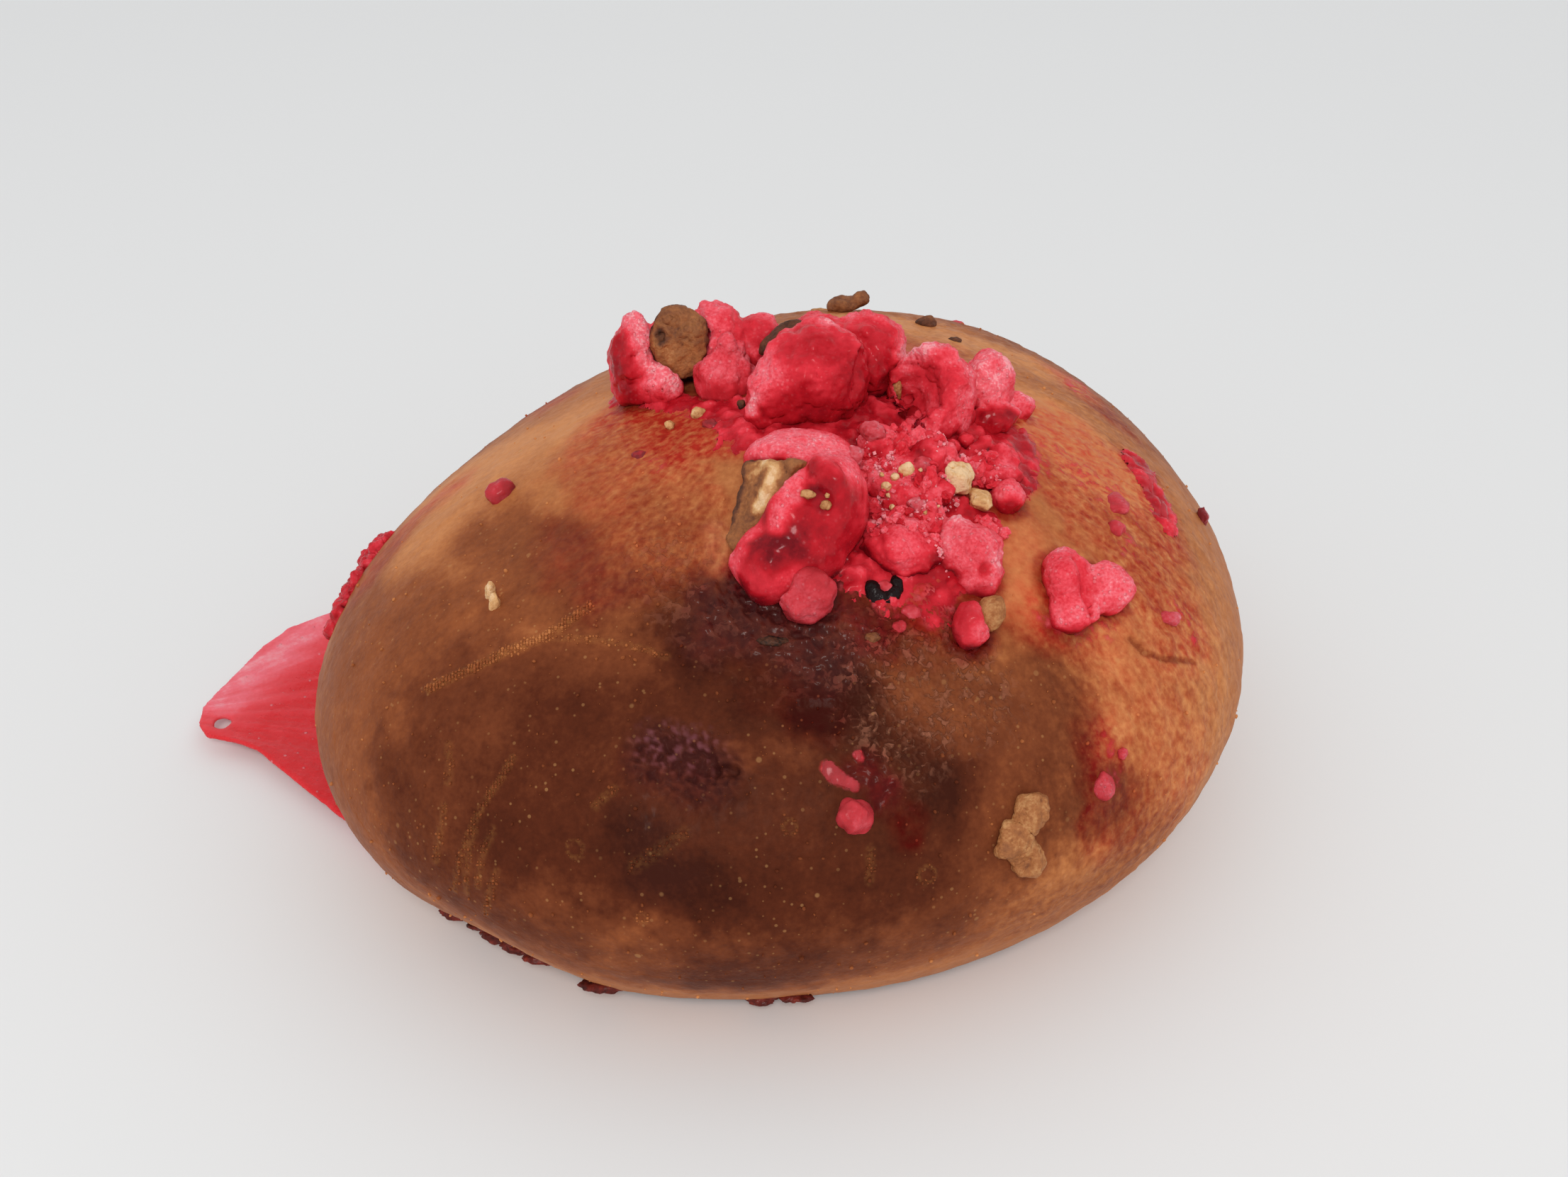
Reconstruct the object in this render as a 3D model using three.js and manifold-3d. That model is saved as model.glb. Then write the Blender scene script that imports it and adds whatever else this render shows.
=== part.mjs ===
// Praline brioche: a round bun that leans forward, with pink sugared almonds baked onto its top
// and a thin plate of melted sugar at its left foot.
// Millimetres, +Z up. The origin is the centre of the flat base, and the front faces -Y.
import * as THREE from "three";
import { mergeVertices } from "three/addons/utils/BufferGeometryUtils.js";
import Module from "manifold-3d";

const wasm = await Module();
wasm.setup();
const DEGREE = Math.PI / 180;
const GOLDEN_ANGLE = Math.PI * (3 - Math.sqrt(5));

// The bun: its plan is an oval with three soft corners, its side a low dome over a foot that curves in
const BUN_LENGTH = 123;
const BUN_WIDTH = 107;
const BUN_TURN = 56 * DEGREE;
const BUN_HEIGHT = 53;
const WAIST_HEIGHT = 19;
const BASE_SHARE = 0.84;
const DOME_POWER = 1.75;
const CORNER_DEPTH = -0.032;
const CORNER_TURN = 23.5 * DEGREE;
const LEAN_X = 2;
const LEAN_Y = -4;
const BUN_SIDES = 42;
const BUN_RINGS = 26;
const BASE_RINGS = 3;
const CRUST_STEPS = 40;
const BASE_CLIMB = -Math.PI / 2 + (BASE_RINGS * Math.PI) / BUN_RINGS;

// The gap between pieces that touch, and the weld distance of shared corners
const GAP = 0.3;
const WELD = 1e-4;

// Lumps get finer facets from these radii up
const FINE_RADIUS = 5;
const MEDIUM_RADIUS = 1.7;

// How uneven a sugar lump, a nut and a loose grain are, as a share of their radius
const SUGAR_ROUGHNESS = 0.1;
const NUT_ROUGHNESS = 0.07;
const GRAIN_ROUGHNESS = 0.25;

// Starting points of the repeatable draws, and the step from one lump's draw to the next
const SEEDS = {
  sugarBits: 1301, nutBits: 4409, flank: 733, drips: 271, nuts: 2003, pralines: 3001, crumble: 6007,
};
const LUMP_STEP = 97;
const PIECE_STEP = 613;

// Soft hollows and swellings of the crust: place, reach and rise
const SWELLS = {
  leftShoulderHollow: { at: [-31, -22, 44], reach: 9, rise: -0.9 },
  hollowBelowTheFrontPraline: { at: [-4, -40, 44], reach: 10, rise: -1.0 },
  burstBlister: { at: [-11, -51, 36], reach: 4, rise: -1.2 },
  lowFrontSwelling: { at: [-8, -57, 28], reach: 14, rise: 0.6 },
  leftFrontSwelling: { at: [-44, -35, 31], reach: 13, rise: 0.6 },
  rightHollow: { at: [28, -38, 37], reach: 9, rise: -0.7 },
  flatUpperLeft: { at: [-37, 3, 40], reach: 14, rise: -0.8 },
  darkFold: { at: [2, -45, 41], reach: 5, rise: -0.6 },
  palePocket: { at: [34, -33, 37], reach: 4, rise: -0.6 },
  tuckedLeftFoot: { at: [-34, -45, 5], reach: 10, rise: -2.0 },
  backSwelling: { at: [24, 40, 33], reach: 15, rise: 0.7 },
  backHollow: { at: [-20, 42, 34], reach: 14, rise: -0.7 },
};

// Small toppings baked into the crust: plan place, height of the centre above the crust, radii
const SUGAR_BITS = {
  leftBead: { at: [-33.4, -10.7], up: 0.5, size: [2.0, 1.9, 1.7] },
  redSmear: { at: [4.4, -51.4], up: 0.0, size: [1.9, 1.4, 1.3] },
  redDrop: { at: [6.0, -54.0], up: 0.0, size: [1.9, 1.4, 2.2] },
  rightDot: { at: [32.7, -43.7], up: 0.2, size: [1.4, 1.3, 1.5] },
  smallRightDot: { at: [35.0, -40.5], up: 0.1, size: [0.6, 0.6, 0.8] },
  rightStripTop: { at: [42.2, -1.5], up: 0.0, size: [2.0, 2.6, 1.7] },
  rightStripFoot: { at: [43.6, -5.5], up: 0.0, size: [1.7, 2.4, 1.6] },
  rightPatch: { at: [37.1, -10.7], up: 0.1, size: [1.7, 2.2, 1.2] },
  rightGrain: { at: [36.6, -15.8], up: 0.1, size: [1.1, 1.0, 0.9] },
  rightFlake: { at: [42.0, -24.1], up: 0.2, size: [1.3, 0.8, 0.9] },
  rightSpur: { at: [50.9, 2.6], up: 0.5, size: [0.7, 1.0, 1.2] },
  rimCrumb: { at: [17.5, 26.0], up: 0.3, size: [1.3, 0.9, 0.9] },
  rimSpeck: { at: [20.5, 19.0], up: 0.0, size: [1.3, 0.9, 0.7] },
  backCrumb: { at: [-14.0, 30.0], up: 0.2, size: [1.5, 1.2, 1.2] },
  backDot: { at: [31.0, 26.0], up: 0.2, size: [1.6, 1.4, 1.4] },
  backDrop: { at: [-33.0, 22.0], up: 0.1, size: [1.4, 1.5, 1.5] },
};
const NUT_BITS = {
  leftSliver: { at: [-32.3, -29.6], up: 0.3, size: [0.9, 0.7, 1.7] },
  topShard: { at: [-10.8, -6.9], up: 0.2, size: [0.9, 0.8, 0.7] },
  topGrain: { at: [-14.0, -8.2], up: 0.1, size: [0.6, 0.6, 0.5] },
  backSliver: { at: [4.0, 44.0], up: 0.1, size: [1.8, 0.8, 1.0] },
};

// Granular sugar that ran down the left flank: its two ends on the crust, grain count and radius
const FLANK_START = [-50.4, 2.0];
const FLANK_END = [-55.2, -9.5];
const FLANK_GRAINS = 13;
const FLANK_SPREAD = 1.6;
const FLANK_RADIUS = [0.9, 1.7];

// Burnt sugar beads under the front left rim: turn about the bun, height, sink, radius and form
const DRIP_TURNS = [238, 235, 231, 228, 224, 247, 266, 270];
const DRIP_HEIGHT = [2.0, 4.5];
const DRIP_SINK = 0.4;
const DRIP_RADIUS = [0.9, 1.4];
const DRIP_FORM = [1.5, 1, 0.7];

// The pralines: lumps of cooked sugar, each with plan place, height above the crust and radii
const PRALINES = {
  praline_split: [
    { at: [-18.5, 1.9], up: 4.4, size: [3.0, 4.0, 5.9] },
    { at: [-15.3, -0.6], up: 2.2, size: [2.4, 2.6, 3.1] },
    { at: [-13.5, 4.6], up: 4.4, size: [4.6, 3.0, 3.9] },
    { at: [-8.5, 3.4], up: 5.0, size: [3.4, 3.8, 4.0] },
    { at: [-3.9, 3.4], up: 3.6, size: [2.9, 3.6, 3.2] },
  ],
  praline_wedge: [
    { at: [-7.9, -1.4], up: 1.6, size: [3.6, 3.4, 3.0] },
    { at: [-7.6, -0.6], up: 4.2, size: [1.9, 1.8, 2.4] },
  ],
  praline_back: [
    { at: [2.5, -6.9], up: 3.8, size: [6.4, 5.5, 6.1] },
    { at: [8.4, -0.4], up: 3.4, size: [4.6, 5.0, 5.0] },
    { at: [-1.9, -8.1], up: 2.6, size: [3.2, 4.0, 4.1] },
    { at: [2.8, 0.6], up: 5.0, size: [3.4, 3.2, 2.6] },
    { at: [-3.6, -10.0], up: 0.8, size: [1.9, 2.0, 2.0] },
  ],
  praline_shell: [
    { at: [15.8, -6.6], up: 2.4, size: [5.0, 5.2, 6.4] },
    { at: [14.7, -11.0], up: 1.4, size: [2.5, 2.6, 2.6] },
  ],
  praline_far: [
    { at: [22.4, -1.3], up: 2.8, size: [3.3, 3.5, 4.0] },
    { at: [23.2, -5.2], up: 0.9, size: [2.9, 2.2, 1.7] },
    { at: [25.8, -0.4], up: 0.8, size: [3.2, 1.9, 1.5] },
  ],
  praline_front: [
    { at: [0.2, -26.2], up: 3.0, size: [5.4, 6.6, 5.4] },
    { at: [0.8, -22.0], up: 4.0, size: [6.4, 5.0, 3.2] },
    { at: [4.0, -27.2], up: 3.3, size: [3.9, 5.0, 6.6] },
    { at: [-2.2, -31.6], up: 1.2, size: [4.6, 5.0, 4.4] },
    { at: [1.6, -30.6], up: 2.0, size: [4.4, 3.6, 4.6] },
  ],
  praline_nugget: [{ at: [1.2, -35.9], up: 1.5, size: [3.2, 2.6, 2.9] }],
  praline_mid: [
    { at: [18.7, -28.2], up: 1.4, size: [3.6, 3.2, 3.4] },
    { at: [19.8, -30.4], up: 0.6, size: [2.7, 2.2, 2.5] },
    { at: [17.2, -27.4], up: 2.4, size: [1.9, 1.9, 2.0] },
  ],
  praline_bead: [{ at: [18.6, -35.9], up: 0.5, size: [2.5, 2.8, 3.0] }],
  praline_side: [
    { at: [29.2, -27.0], up: 0.9, size: [2.6, 3.2, 3.0] },
    { at: [33.9, -26.6], up: 0.9, size: [3.2, 3.2, 3.3] },
    { at: [29.6, -30.3], up: 0.1, size: [3.2, 2.8, 2.2] },
  ],
  praline_small: [{ at: [23.6, -19.1], up: 0.9, size: [2.0, 2.3, 2.2] }],
};

// The hollow that makes one praline a broken shell with its first lump as the wall
const SHELL_HOLLOW = { at: [12.7, -10.2], up: 5.2, size: [4.6, 5.0, 5.4] };

// The heap of crumbled sugar between the pralines: a low core and the lumps and grains on it
const CRUMBLE_CORE = [
  { at: [12.6, -17.8], up: 0.2, size: [6.0, 6.8, 2.0] },
  { at: [11.8, -27.0], up: 0.2, size: [5.0, 5.4, 2.1] },
  { at: [21.0, -13.4], up: 0.0, size: [4.6, 4.2, 1.3] },
];
const CRUMBLE_LUMPS = [
  { at: [11.2, -29.6], up: 1.3, size: [3.2, 3.2, 2.6] },
  { at: [9.2, -15.6], up: 1.6, size: [2.0, 2.0, 2.2] },
  { at: [15.2, -16.4], up: 2.0, size: [2.6, 2.2, 2.0] },
  { at: [7.6, -32.8], up: 0.6, size: [1.6, 1.6, 1.8] },
];
const CRUMBLE_GRAINS = 28;
const CRUMBLE_GRAIN_RADIUS = [0.8, 1.4];
const CRUMBLE_GRAIN_REACH = 0.9;

// Whole and broken almonds, as lumps with a turn in degrees
const NUTS = {
  nut_split: [{ at: [-13.2, 0.7], up: 6.2, size: [3.4, 2.0, 4.6], turn: [-8, 0, 0] }],
  nut_skin: [{ at: [-1.3, -0.6], up: 5.4, size: [3.2, 1.5, 1.0], turn: [0, -35, 10] }],
  nut_bead: [{ at: [20.6, -35.0], up: 1.9, size: [1.3, 1.8, 2.0], turn: [0, 25, 0] }],
  nut_cream: [{ at: [17.9, -19.5], up: 2.2, size: [1.6, 1.5, 2.2], turn: [0, -15, 20] }],
  nut_chip: [{ at: [20.4, -20.9], up: 1.2, size: [2.1, 1.4, 0.8], turn: [0, 15, 10] }],
  nut_top: [
    { at: [6.8, 33.2], up: 1.0, size: [2.4, 1.3, 0.9], turn: [0, -10, 8] },
    { at: [9.0, 33.4], up: 1.8, size: [1.5, 1.2, 1.0], turn: [0, -40, 8] },
  ],
  nut_side: [
    { at: [24.4, -49.4], up: 1.7, size: [1.7, 1.5, 2.4], turn: [-30, 25, 0] },
    { at: [22.2, -51.2], up: 1.0, size: [2.1, 1.5, 2.2], turn: [-30, 0, 0] },
    { at: [24.2, -51.2], up: 1.2, size: [1.9, 1.4, 2.3], turn: [-30, 0, 0] },
  ],
};

// The almond cut open in the front praline: the outline of its face about its middle, its place,
// depth and facing, the opening before it, and how far its corners move where its sides move by 1
const FRONT_NUT_OUTLINE = [[-3.9, 3.4], [2.6, 6.2], [1.8, 0], [0.6, -5.2], [-0.9, -5.4]];
const FRONT_NUT_AT = [-4.0, -28.0];
const FRONT_NUT_UP = 4.6;
const FRONT_NUT_DEPTH = 4.0;
const FRONT_NUT_WINDOW = 6.0;
const CORNER_GROWTH = 1.5;
const FRONT_NUT_FACING = new THREE.Vector3(-0.55, -0.55, 0.63);

// The plate of melted sugar: its root under the bun and its rim, both from the back to the front,
// and its thickness and middle height at the root and at the rim
const SHEET_ROOT = [[-38, 29], [-44.5, 16], [-47, 4], [-47, -8], [-45, -20], [-42, -28]];
const SHEET_RIM = [
  [-42, 32], [-53, 28], [-64, 22], [-71, 17], [-75, 8], [-77.5, 1], [-76, -5], [-70, -7],
  [-63.5, -13], [-55.5, -20.5], [-47, -28],
];
const SHEET_THICKNESS = [1.1, 0.7];
const SHEET_HEIGHT = [1.1, 2.8];
const SHEET_WAVE = 0.35;
const SHEET_WAVES = 3.5;
const SHEET_ROWS = 6;
const SHEET_COLUMNS = 18;
const SHEET_HOLE_AT = [-74.2, -2.3];
const SHEET_HOLE_SIZE = [1.1, 1.4];
const SHEET_HOLE_SIDES = 10;

// Materials by sub-part family
const LOOKS = {
  bun: { color: 0x9a6136, roughness: 0.5 },
  praline: { color: 0xe03a58, roughness: 0.55 },
  nut: { color: 0xa9834c, roughness: 0.75 },
  sheet: { color: 0xf04562, roughness: 0.25 },
};

// A repeatable draw between 0 and 1
function drawsFrom(seed) {
  let state = seed;
  return () => {
    state = (state * 16807) % 2147483647;
    return (state - 1) / 2147483646;
  };
}

function between([low, high], share) {
  return low + (high - low) * share;
}

// Closed geometry with one corner where several meet
function welded(geometry) {
  const bare = geometry.clone();
  bare.deleteAttribute("normal");
  bare.deleteAttribute("uv");
  return mergeVertices(bare, WELD);
}

function moveCorners(geometry, move) {
  const position = geometry.getAttribute("position");
  const corner = new THREE.Vector3();
  for (let i = 0; i < position.count; i += 1) {
    corner.fromBufferAttribute(position, i);
    move(corner);
    position.setXYZ(i, corner.x, corner.y, corner.z);
  }
  return geometry;
}

function solidOf(geometry) {
  const closed = welded(geometry);
  const vertProperties = new Float32Array(closed.getAttribute("position").array);
  const triVerts = new Uint32Array(closed.index.array);
  return new wasm.Manifold(new wasm.Mesh({ numProp: 3, vertProperties, triVerts }));
}

function geometryOf(solid) {
  const { vertProperties, triVerts } = solid.getMesh();
  const geometry = new THREE.BufferGeometry();
  geometry.setAttribute("position", new THREE.BufferAttribute(vertProperties, 3));
  geometry.setIndex(new THREE.BufferAttribute(triVerts, 1));
  geometry.computeVertexNormals();
  return geometry;
}

function joined(solids) {
  return solids.reduce((whole, next) => whole.add(next));
}

// The largest body of a cut solid: loose scraps are dropped
function largestBody(solid) {
  const bodies = solid.decompose();
  return bodies.reduce((best, next) => (next.volume() > best.volume() ? next : best));
}

// How far the bun reaches from its axis in one direction
function bunReach(turn) {
  const along = Math.cos(turn - BUN_TURN) / (BUN_LENGTH / 2);
  const across = Math.sin(turn - BUN_TURN) / (BUN_WIDTH / 2);
  const corners = 1 + CORNER_DEPTH * Math.cos(3 * (turn - CORNER_TURN));
  return corners / Math.hypot(along, across);
}

function swellAt(point) {
  let rise = 0;
  for (const { at, reach, rise: height } of Object.values(SWELLS)) {
    const away = point.distanceTo(new THREE.Vector3(...at)) / reach;
    rise += height * Math.exp(-away * away);
  }
  return rise;
}

// A point of the bun's skin: turn about the axis, and climb from the base's middle to the top
function bunPoint(turn, climb) {
  let share = 0;
  let z = 0;
  if (climb < BASE_CLIMB) {
    share = (BASE_SHARE * (climb + Math.PI / 2)) / (BASE_CLIMB + Math.PI / 2);
  } else if (climb < 0) {
    const foot = climb / BASE_CLIMB;
    share = 1 - (1 - BASE_SHARE) * foot ** 2;
    z = WAIST_HEIGHT * (1 - foot);
  } else {
    share = Math.cos(climb) ** (2 / DOME_POWER);
    z = WAIST_HEIGHT + (BUN_HEIGHT - WAIST_HEIGHT) * Math.sin(climb) ** (2 / DOME_POWER);
  }
  const lean = z / BUN_HEIGHT;
  const reach = bunReach(turn) * share;
  return new THREE.Vector3(
    reach * Math.cos(turn) + LEAN_X * lean, reach * Math.sin(turn) + LEAN_Y * lean, z,
  );
}

// The same point with the crust's hollows and swellings, and grown outward: sideways in the foot
function bunSkin(turn, climb, grow) {
  const plain = bunPoint(turn, climb);
  const above = Math.max(0, plain.z - WAIST_HEIGHT);
  const outward = new THREE.Vector3(plain.x, plain.y, above).normalize();
  return plain.addScaledVector(outward, swellAt(plain) + grow);
}

function bunGeometry(grow) {
  const ball = welded(new THREE.SphereGeometry(1, BUN_SIDES, BUN_RINGS));
  return moveCorners(ball, (corner) => {
    const turn = Math.atan2(-corner.z, corner.x);
    const climb = Math.asin(THREE.MathUtils.clamp(corner.y, -1, 1));
    corner.copy(bunSkin(turn, climb, grow));
  });
}

// The crust's height over a plan place on the dome
function crustHeight([x, y]) {
  let z = BUN_HEIGHT;
  for (let step = 0; step < CRUST_STEPS; step += 1) {
    const lean = z / BUN_HEIGHT;
    const leanX = x - LEAN_X * lean;
    const leanY = y - LEAN_Y * lean;
    const share = Math.min(1, Math.hypot(leanX, leanY) / bunReach(Math.atan2(leanY, leanX)));
    const dome = (1 - share ** DOME_POWER) ** (1 / DOME_POWER);
    z = (z + WAIST_HEIGHT + (BUN_HEIGHT - WAIST_HEIGHT) * dome) / 2;
  }
  return z;
}

function seatOn(at, up = 0) {
  return new THREE.Vector3(at[0], at[1], crustHeight(at) + up);
}

// An uneven lump about a centre, with its radii and turn in degrees
function lump(centre, size, { roughness, seed, grow = 0, turn = [0, 0, 0] }) {
  const draw = drawsFrom(seed);
  const spin = new THREE.Euler(...turn.map((angle) => angle * DEGREE));
  const facets = [FINE_RADIUS, MEDIUM_RADIUS].filter((radius) => Math.max(...size) >= radius).length;
  const ball = welded(new THREE.IcosahedronGeometry(1, facets));
  moveCorners(ball, (corner) => {
    const uneven = 1 + roughness * (2 * draw() - 1);
    corner.set(
      corner.x * (size[0] * uneven + grow),
      corner.y * (size[1] * uneven + grow),
      corner.z * (size[2] * uneven + grow),
    );
    corner.applyEuler(spin).add(centre);
  });
  return solidOf(ball);
}

function lumpsOn(lobes, options) {
  return lobes.map(({ at, up, size, turn }, i) =>
    lump(seatOn(at, up), size, { ...options, turn, seed: options.seed + LUMP_STEP * i }));
}

// Toppings fused to the bun
function bunToppings() {
  const sugar = lumpsOn(Object.values(SUGAR_BITS), { roughness: SUGAR_ROUGHNESS, seed: SEEDS.sugarBits });
  const nuts = lumpsOn(Object.values(NUT_BITS), { roughness: GRAIN_ROUGHNESS, seed: SEEDS.nutBits });
  return [...sugar, ...nuts, ...flankGrains(), ...drips()];
}

function flankGrains() {
  const draw = drawsFrom(SEEDS.flank);
  const grains = [];
  for (let i = 0; i < FLANK_GRAINS; i += 1) {
    const share = (i + draw()) / FLANK_GRAINS;
    const x = between([FLANK_START[0], FLANK_END[0]], share) + FLANK_SPREAD * (draw() - 0.5);
    const y = between([FLANK_START[1], FLANK_END[1]], share) + 2 * FLANK_SPREAD * (draw() - 0.5);
    const radius = between(FLANK_RADIUS, draw());
    const size = [radius, radius, radius];
    const options = { roughness: GRAIN_ROUGHNESS, seed: SEEDS.flank + LUMP_STEP * (i + 1) };
    grains.push(lump(seatOn([x, y]), size, options));
  }
  return grains;
}

function drips() {
  const draw = drawsFrom(SEEDS.drips);
  return DRIP_TURNS.map((turn, i) => {
    const height = between(DRIP_HEIGHT, draw());
    const foot = 1 - height / WAIST_HEIGHT;
    const centre = bunSkin(turn * DEGREE, foot * BASE_CLIMB, -DRIP_SINK);
    const radius = between(DRIP_RADIUS, draw());
    const size = DRIP_FORM.map((share) => share * radius);
    const seed = SEEDS.drips + LUMP_STEP * (i + 1);
    return lump(centre, size, { roughness: GRAIN_ROUGHNESS, seed });
  });
}

// The crumbled heap: lumps, then grains spread over the core by the sunflower rule
function crumble(grow) {
  const sugar = { roughness: SUGAR_ROUGHNESS, grow };
  const core = lumpsOn(CRUMBLE_CORE, { ...sugar, seed: SEEDS.crumble });
  const lumps = lumpsOn(CRUMBLE_LUMPS, { ...sugar, seed: SEEDS.crumble + 1 });
  const draw = drawsFrom(SEEDS.crumble + 2);
  const grains = [];
  for (let i = 0; i < CRUMBLE_GRAINS; i += 1) {
    const { at, up, size } = CRUMBLE_CORE[i % CRUMBLE_CORE.length];
    const share = CRUMBLE_GRAIN_REACH * Math.sqrt((i + 0.5) / CRUMBLE_GRAINS);
    const x = at[0] + size[0] * share * Math.cos(GOLDEN_ANGLE * i);
    const y = at[1] + size[1] * share * Math.sin(GOLDEN_ANGLE * i);
    const rise = up + size[2] * Math.sqrt(1 - share * share);
    const radius = between(CRUMBLE_GRAIN_RADIUS, draw());
    const seed = SEEDS.crumble + LUMP_STEP * (i + 1);
    const options = { roughness: GRAIN_ROUGHNESS, seed, grow };
    grains.push(lump(seatOn([x, y], rise), [radius, radius, radius], options));
  }
  return joined([...core, ...lumps, ...grains]);
}

// The cut almond as a slab behind its face, with a window before the face where it is cut out
function frontNut(grow, window) {
  const corners = FRONT_NUT_OUTLINE.map(([x, y]) => {
    const corner = new THREE.Vector2(x, y);
    return corner.setLength(corner.length() + CORNER_GROWTH * grow);
  });
  const depth = FRONT_NUT_DEPTH + grow + window;
  const slab = new THREE.ExtrudeGeometry(new THREE.Shape(corners), { depth, bevelEnabled: false });
  slab.translate(0, 0, -FRONT_NUT_DEPTH - grow);
  const face = new THREE.Object3D();
  face.up.set(0, 0, 1);
  face.lookAt(FRONT_NUT_FACING);
  slab.applyQuaternion(face.quaternion);
  const seat = seatOn(FRONT_NUT_AT, FRONT_NUT_UP);
  slab.translate(seat.x, seat.y, seat.z);
  return solidOf(slab);
}

function nut(name, grow) {
  const seed = SEEDS.nuts + PIECE_STEP * Object.keys(NUTS).indexOf(name);
  return joined(lumpsOn(NUTS[name], { roughness: NUT_ROUGHNESS, seed, grow }));
}

function praline(name, grow) {
  const seed = SEEDS.pralines + PIECE_STEP * Object.keys(PRALINES).indexOf(name);
  const options = { roughness: SUGAR_ROUGHNESS, seed, grow };
  return joined(lumpsOn(PRALINES[name], options));
}

// The broken shell: its wall is hollowed before the bead in it is added
function shell(grow) {
  const seed = SEEDS.pralines;
  const sugar = { roughness: SUGAR_ROUGHNESS, seed };
  const [wall, bead] = lumpsOn(PRALINES.praline_shell, { ...sugar, grow });
  const { at, up, size } = SHELL_HOLLOW;
  const hollow = lump(seatOn(at, up), size, { ...sugar, grow: -grow });
  return wall.subtract(hollow).add(bead);
}

// The plate of sugar: a thin block whose ends follow root and rim, bent by a soft wave
function sugarSheet() {
  const toCurve = (points) => new THREE.SplineCurve(points.map(([x, y]) => new THREE.Vector2(x, y)));
  const root = toCurve(SHEET_ROOT);
  const rim = toCurve(SHEET_RIM);
  const block = welded(new THREE.BoxGeometry(1, 1, 1, SHEET_ROWS, SHEET_COLUMNS, 1));
  moveCorners(block, (corner) => {
    const reach = 0.5 - corner.x;
    const along = 0.5 - corner.y;
    const place = root.getPoint(along).lerp(rim.getPoint(along), reach);
    const wave = SHEET_WAVE * reach * Math.sin(SHEET_WAVES * Math.PI * along);
    const middle = between(SHEET_HEIGHT, reach) + wave;
    const thickness = between(SHEET_THICKNESS, reach);
    corner.set(place.x, place.y, middle + corner.z * thickness);
  });
  const hole = new THREE.CylinderGeometry(1, 1, BUN_HEIGHT, SHEET_HOLE_SIDES);
  hole.rotateX(Math.PI / 2);
  hole.scale(SHEET_HOLE_SIZE[0], SHEET_HOLE_SIZE[1], 1);
  hole.translate(SHEET_HOLE_AT[0], SHEET_HOLE_AT[1], 0);
  return solidOf(block).subtract(solidOf(hole));
}

// One named piece, its geometry measured from its seat and the mesh placed there
function piece(name, solid, seat, look) {
  const geometry = geometryOf(solid).translate(-seat.x, -seat.y, -seat.z);
  const material = new THREE.MeshStandardMaterial({ ...look, metalness: 0 });
  const mesh = new THREE.Mesh(geometry, material);
  mesh.name = name;
  mesh.position.copy(seat);
  return mesh;
}

const brioche = new THREE.Group();
const grownBun = solidOf(bunGeometry(GAP));
const bun = joined([solidOf(bunGeometry(0)), ...bunToppings()]);
brioche.add(piece("bun", bun, new THREE.Vector3(), LOOKS.bun));

// Each later piece is cut clear of the crust and of the pieces already on it
const taken = [grownBun];
function setDown(name, solid, grown, at, look) {
  const clear = taken.reduce((rest, other) => rest.subtract(other), solid);
  brioche.add(piece(name, largestBody(clear), seatOn(at), look));
  taken.push(grown);
}

setDown("nut_front", frontNut(0, 0), frontNut(GAP, FRONT_NUT_WINDOW), FRONT_NUT_AT, LOOKS.nut);
for (const [name, [{ at }]] of Object.entries(NUTS)) {
  setDown(name, nut(name, 0), nut(name, GAP), at, LOOKS.nut);
}
for (const [name, [{ at }]] of Object.entries(PRALINES)) {
  const form = name === "praline_shell" ? shell : (grow) => praline(name, grow);
  setDown(name, form(0), form(GAP), at, LOOKS.praline);
}
const heap = CRUMBLE_CORE[0].at;
setDown("praline_crumble", crumble(0), crumble(GAP), heap, LOOKS.praline);
const sheet = sugarSheet();
setDown("sugar_sheet", sheet, sheet, SHEET_ROOT[0], LOOKS.sheet);

export default brioche;
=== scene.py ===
"""Looks of the praline brioche: browned crust, cooked sugar, almonds and a plate of melted sugar.

Lengths in this script are millimetres, and become metres where a mesh or a light is made.
The front faces -Y. A pixel place is in the photograph's frame of 2212 by 1661.
"""
import math

import bmesh
import bpy
import numpy as np
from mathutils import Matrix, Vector, noise
from mathutils.bvhtree import BVHTree
from mathutils.kdtree import KDTree


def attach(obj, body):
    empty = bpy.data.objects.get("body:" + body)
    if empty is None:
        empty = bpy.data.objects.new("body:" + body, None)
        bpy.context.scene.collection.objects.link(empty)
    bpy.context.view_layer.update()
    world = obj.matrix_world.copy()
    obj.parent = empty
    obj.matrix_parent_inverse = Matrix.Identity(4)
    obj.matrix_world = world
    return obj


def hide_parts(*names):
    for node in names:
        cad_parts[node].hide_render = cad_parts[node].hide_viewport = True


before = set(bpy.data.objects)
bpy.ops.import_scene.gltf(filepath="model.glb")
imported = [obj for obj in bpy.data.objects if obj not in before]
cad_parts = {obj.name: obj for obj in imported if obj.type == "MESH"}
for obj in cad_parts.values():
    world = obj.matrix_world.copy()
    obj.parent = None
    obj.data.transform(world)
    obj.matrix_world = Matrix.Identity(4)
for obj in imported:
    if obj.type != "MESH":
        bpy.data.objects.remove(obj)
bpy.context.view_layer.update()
MM = 0.001

# The camera, and the size of the photograph that pixel places refer to
PHOTO_WIDTH = 2212
PHOTO_HEIGHT = 1661
LENS = 45
SENSOR = 36
CAMERA_RISE = math.radians(35)
CAMERA_DISTANCE = 246
CAMERA_TARGET = Vector((-1, 0, 22.5))

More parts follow.
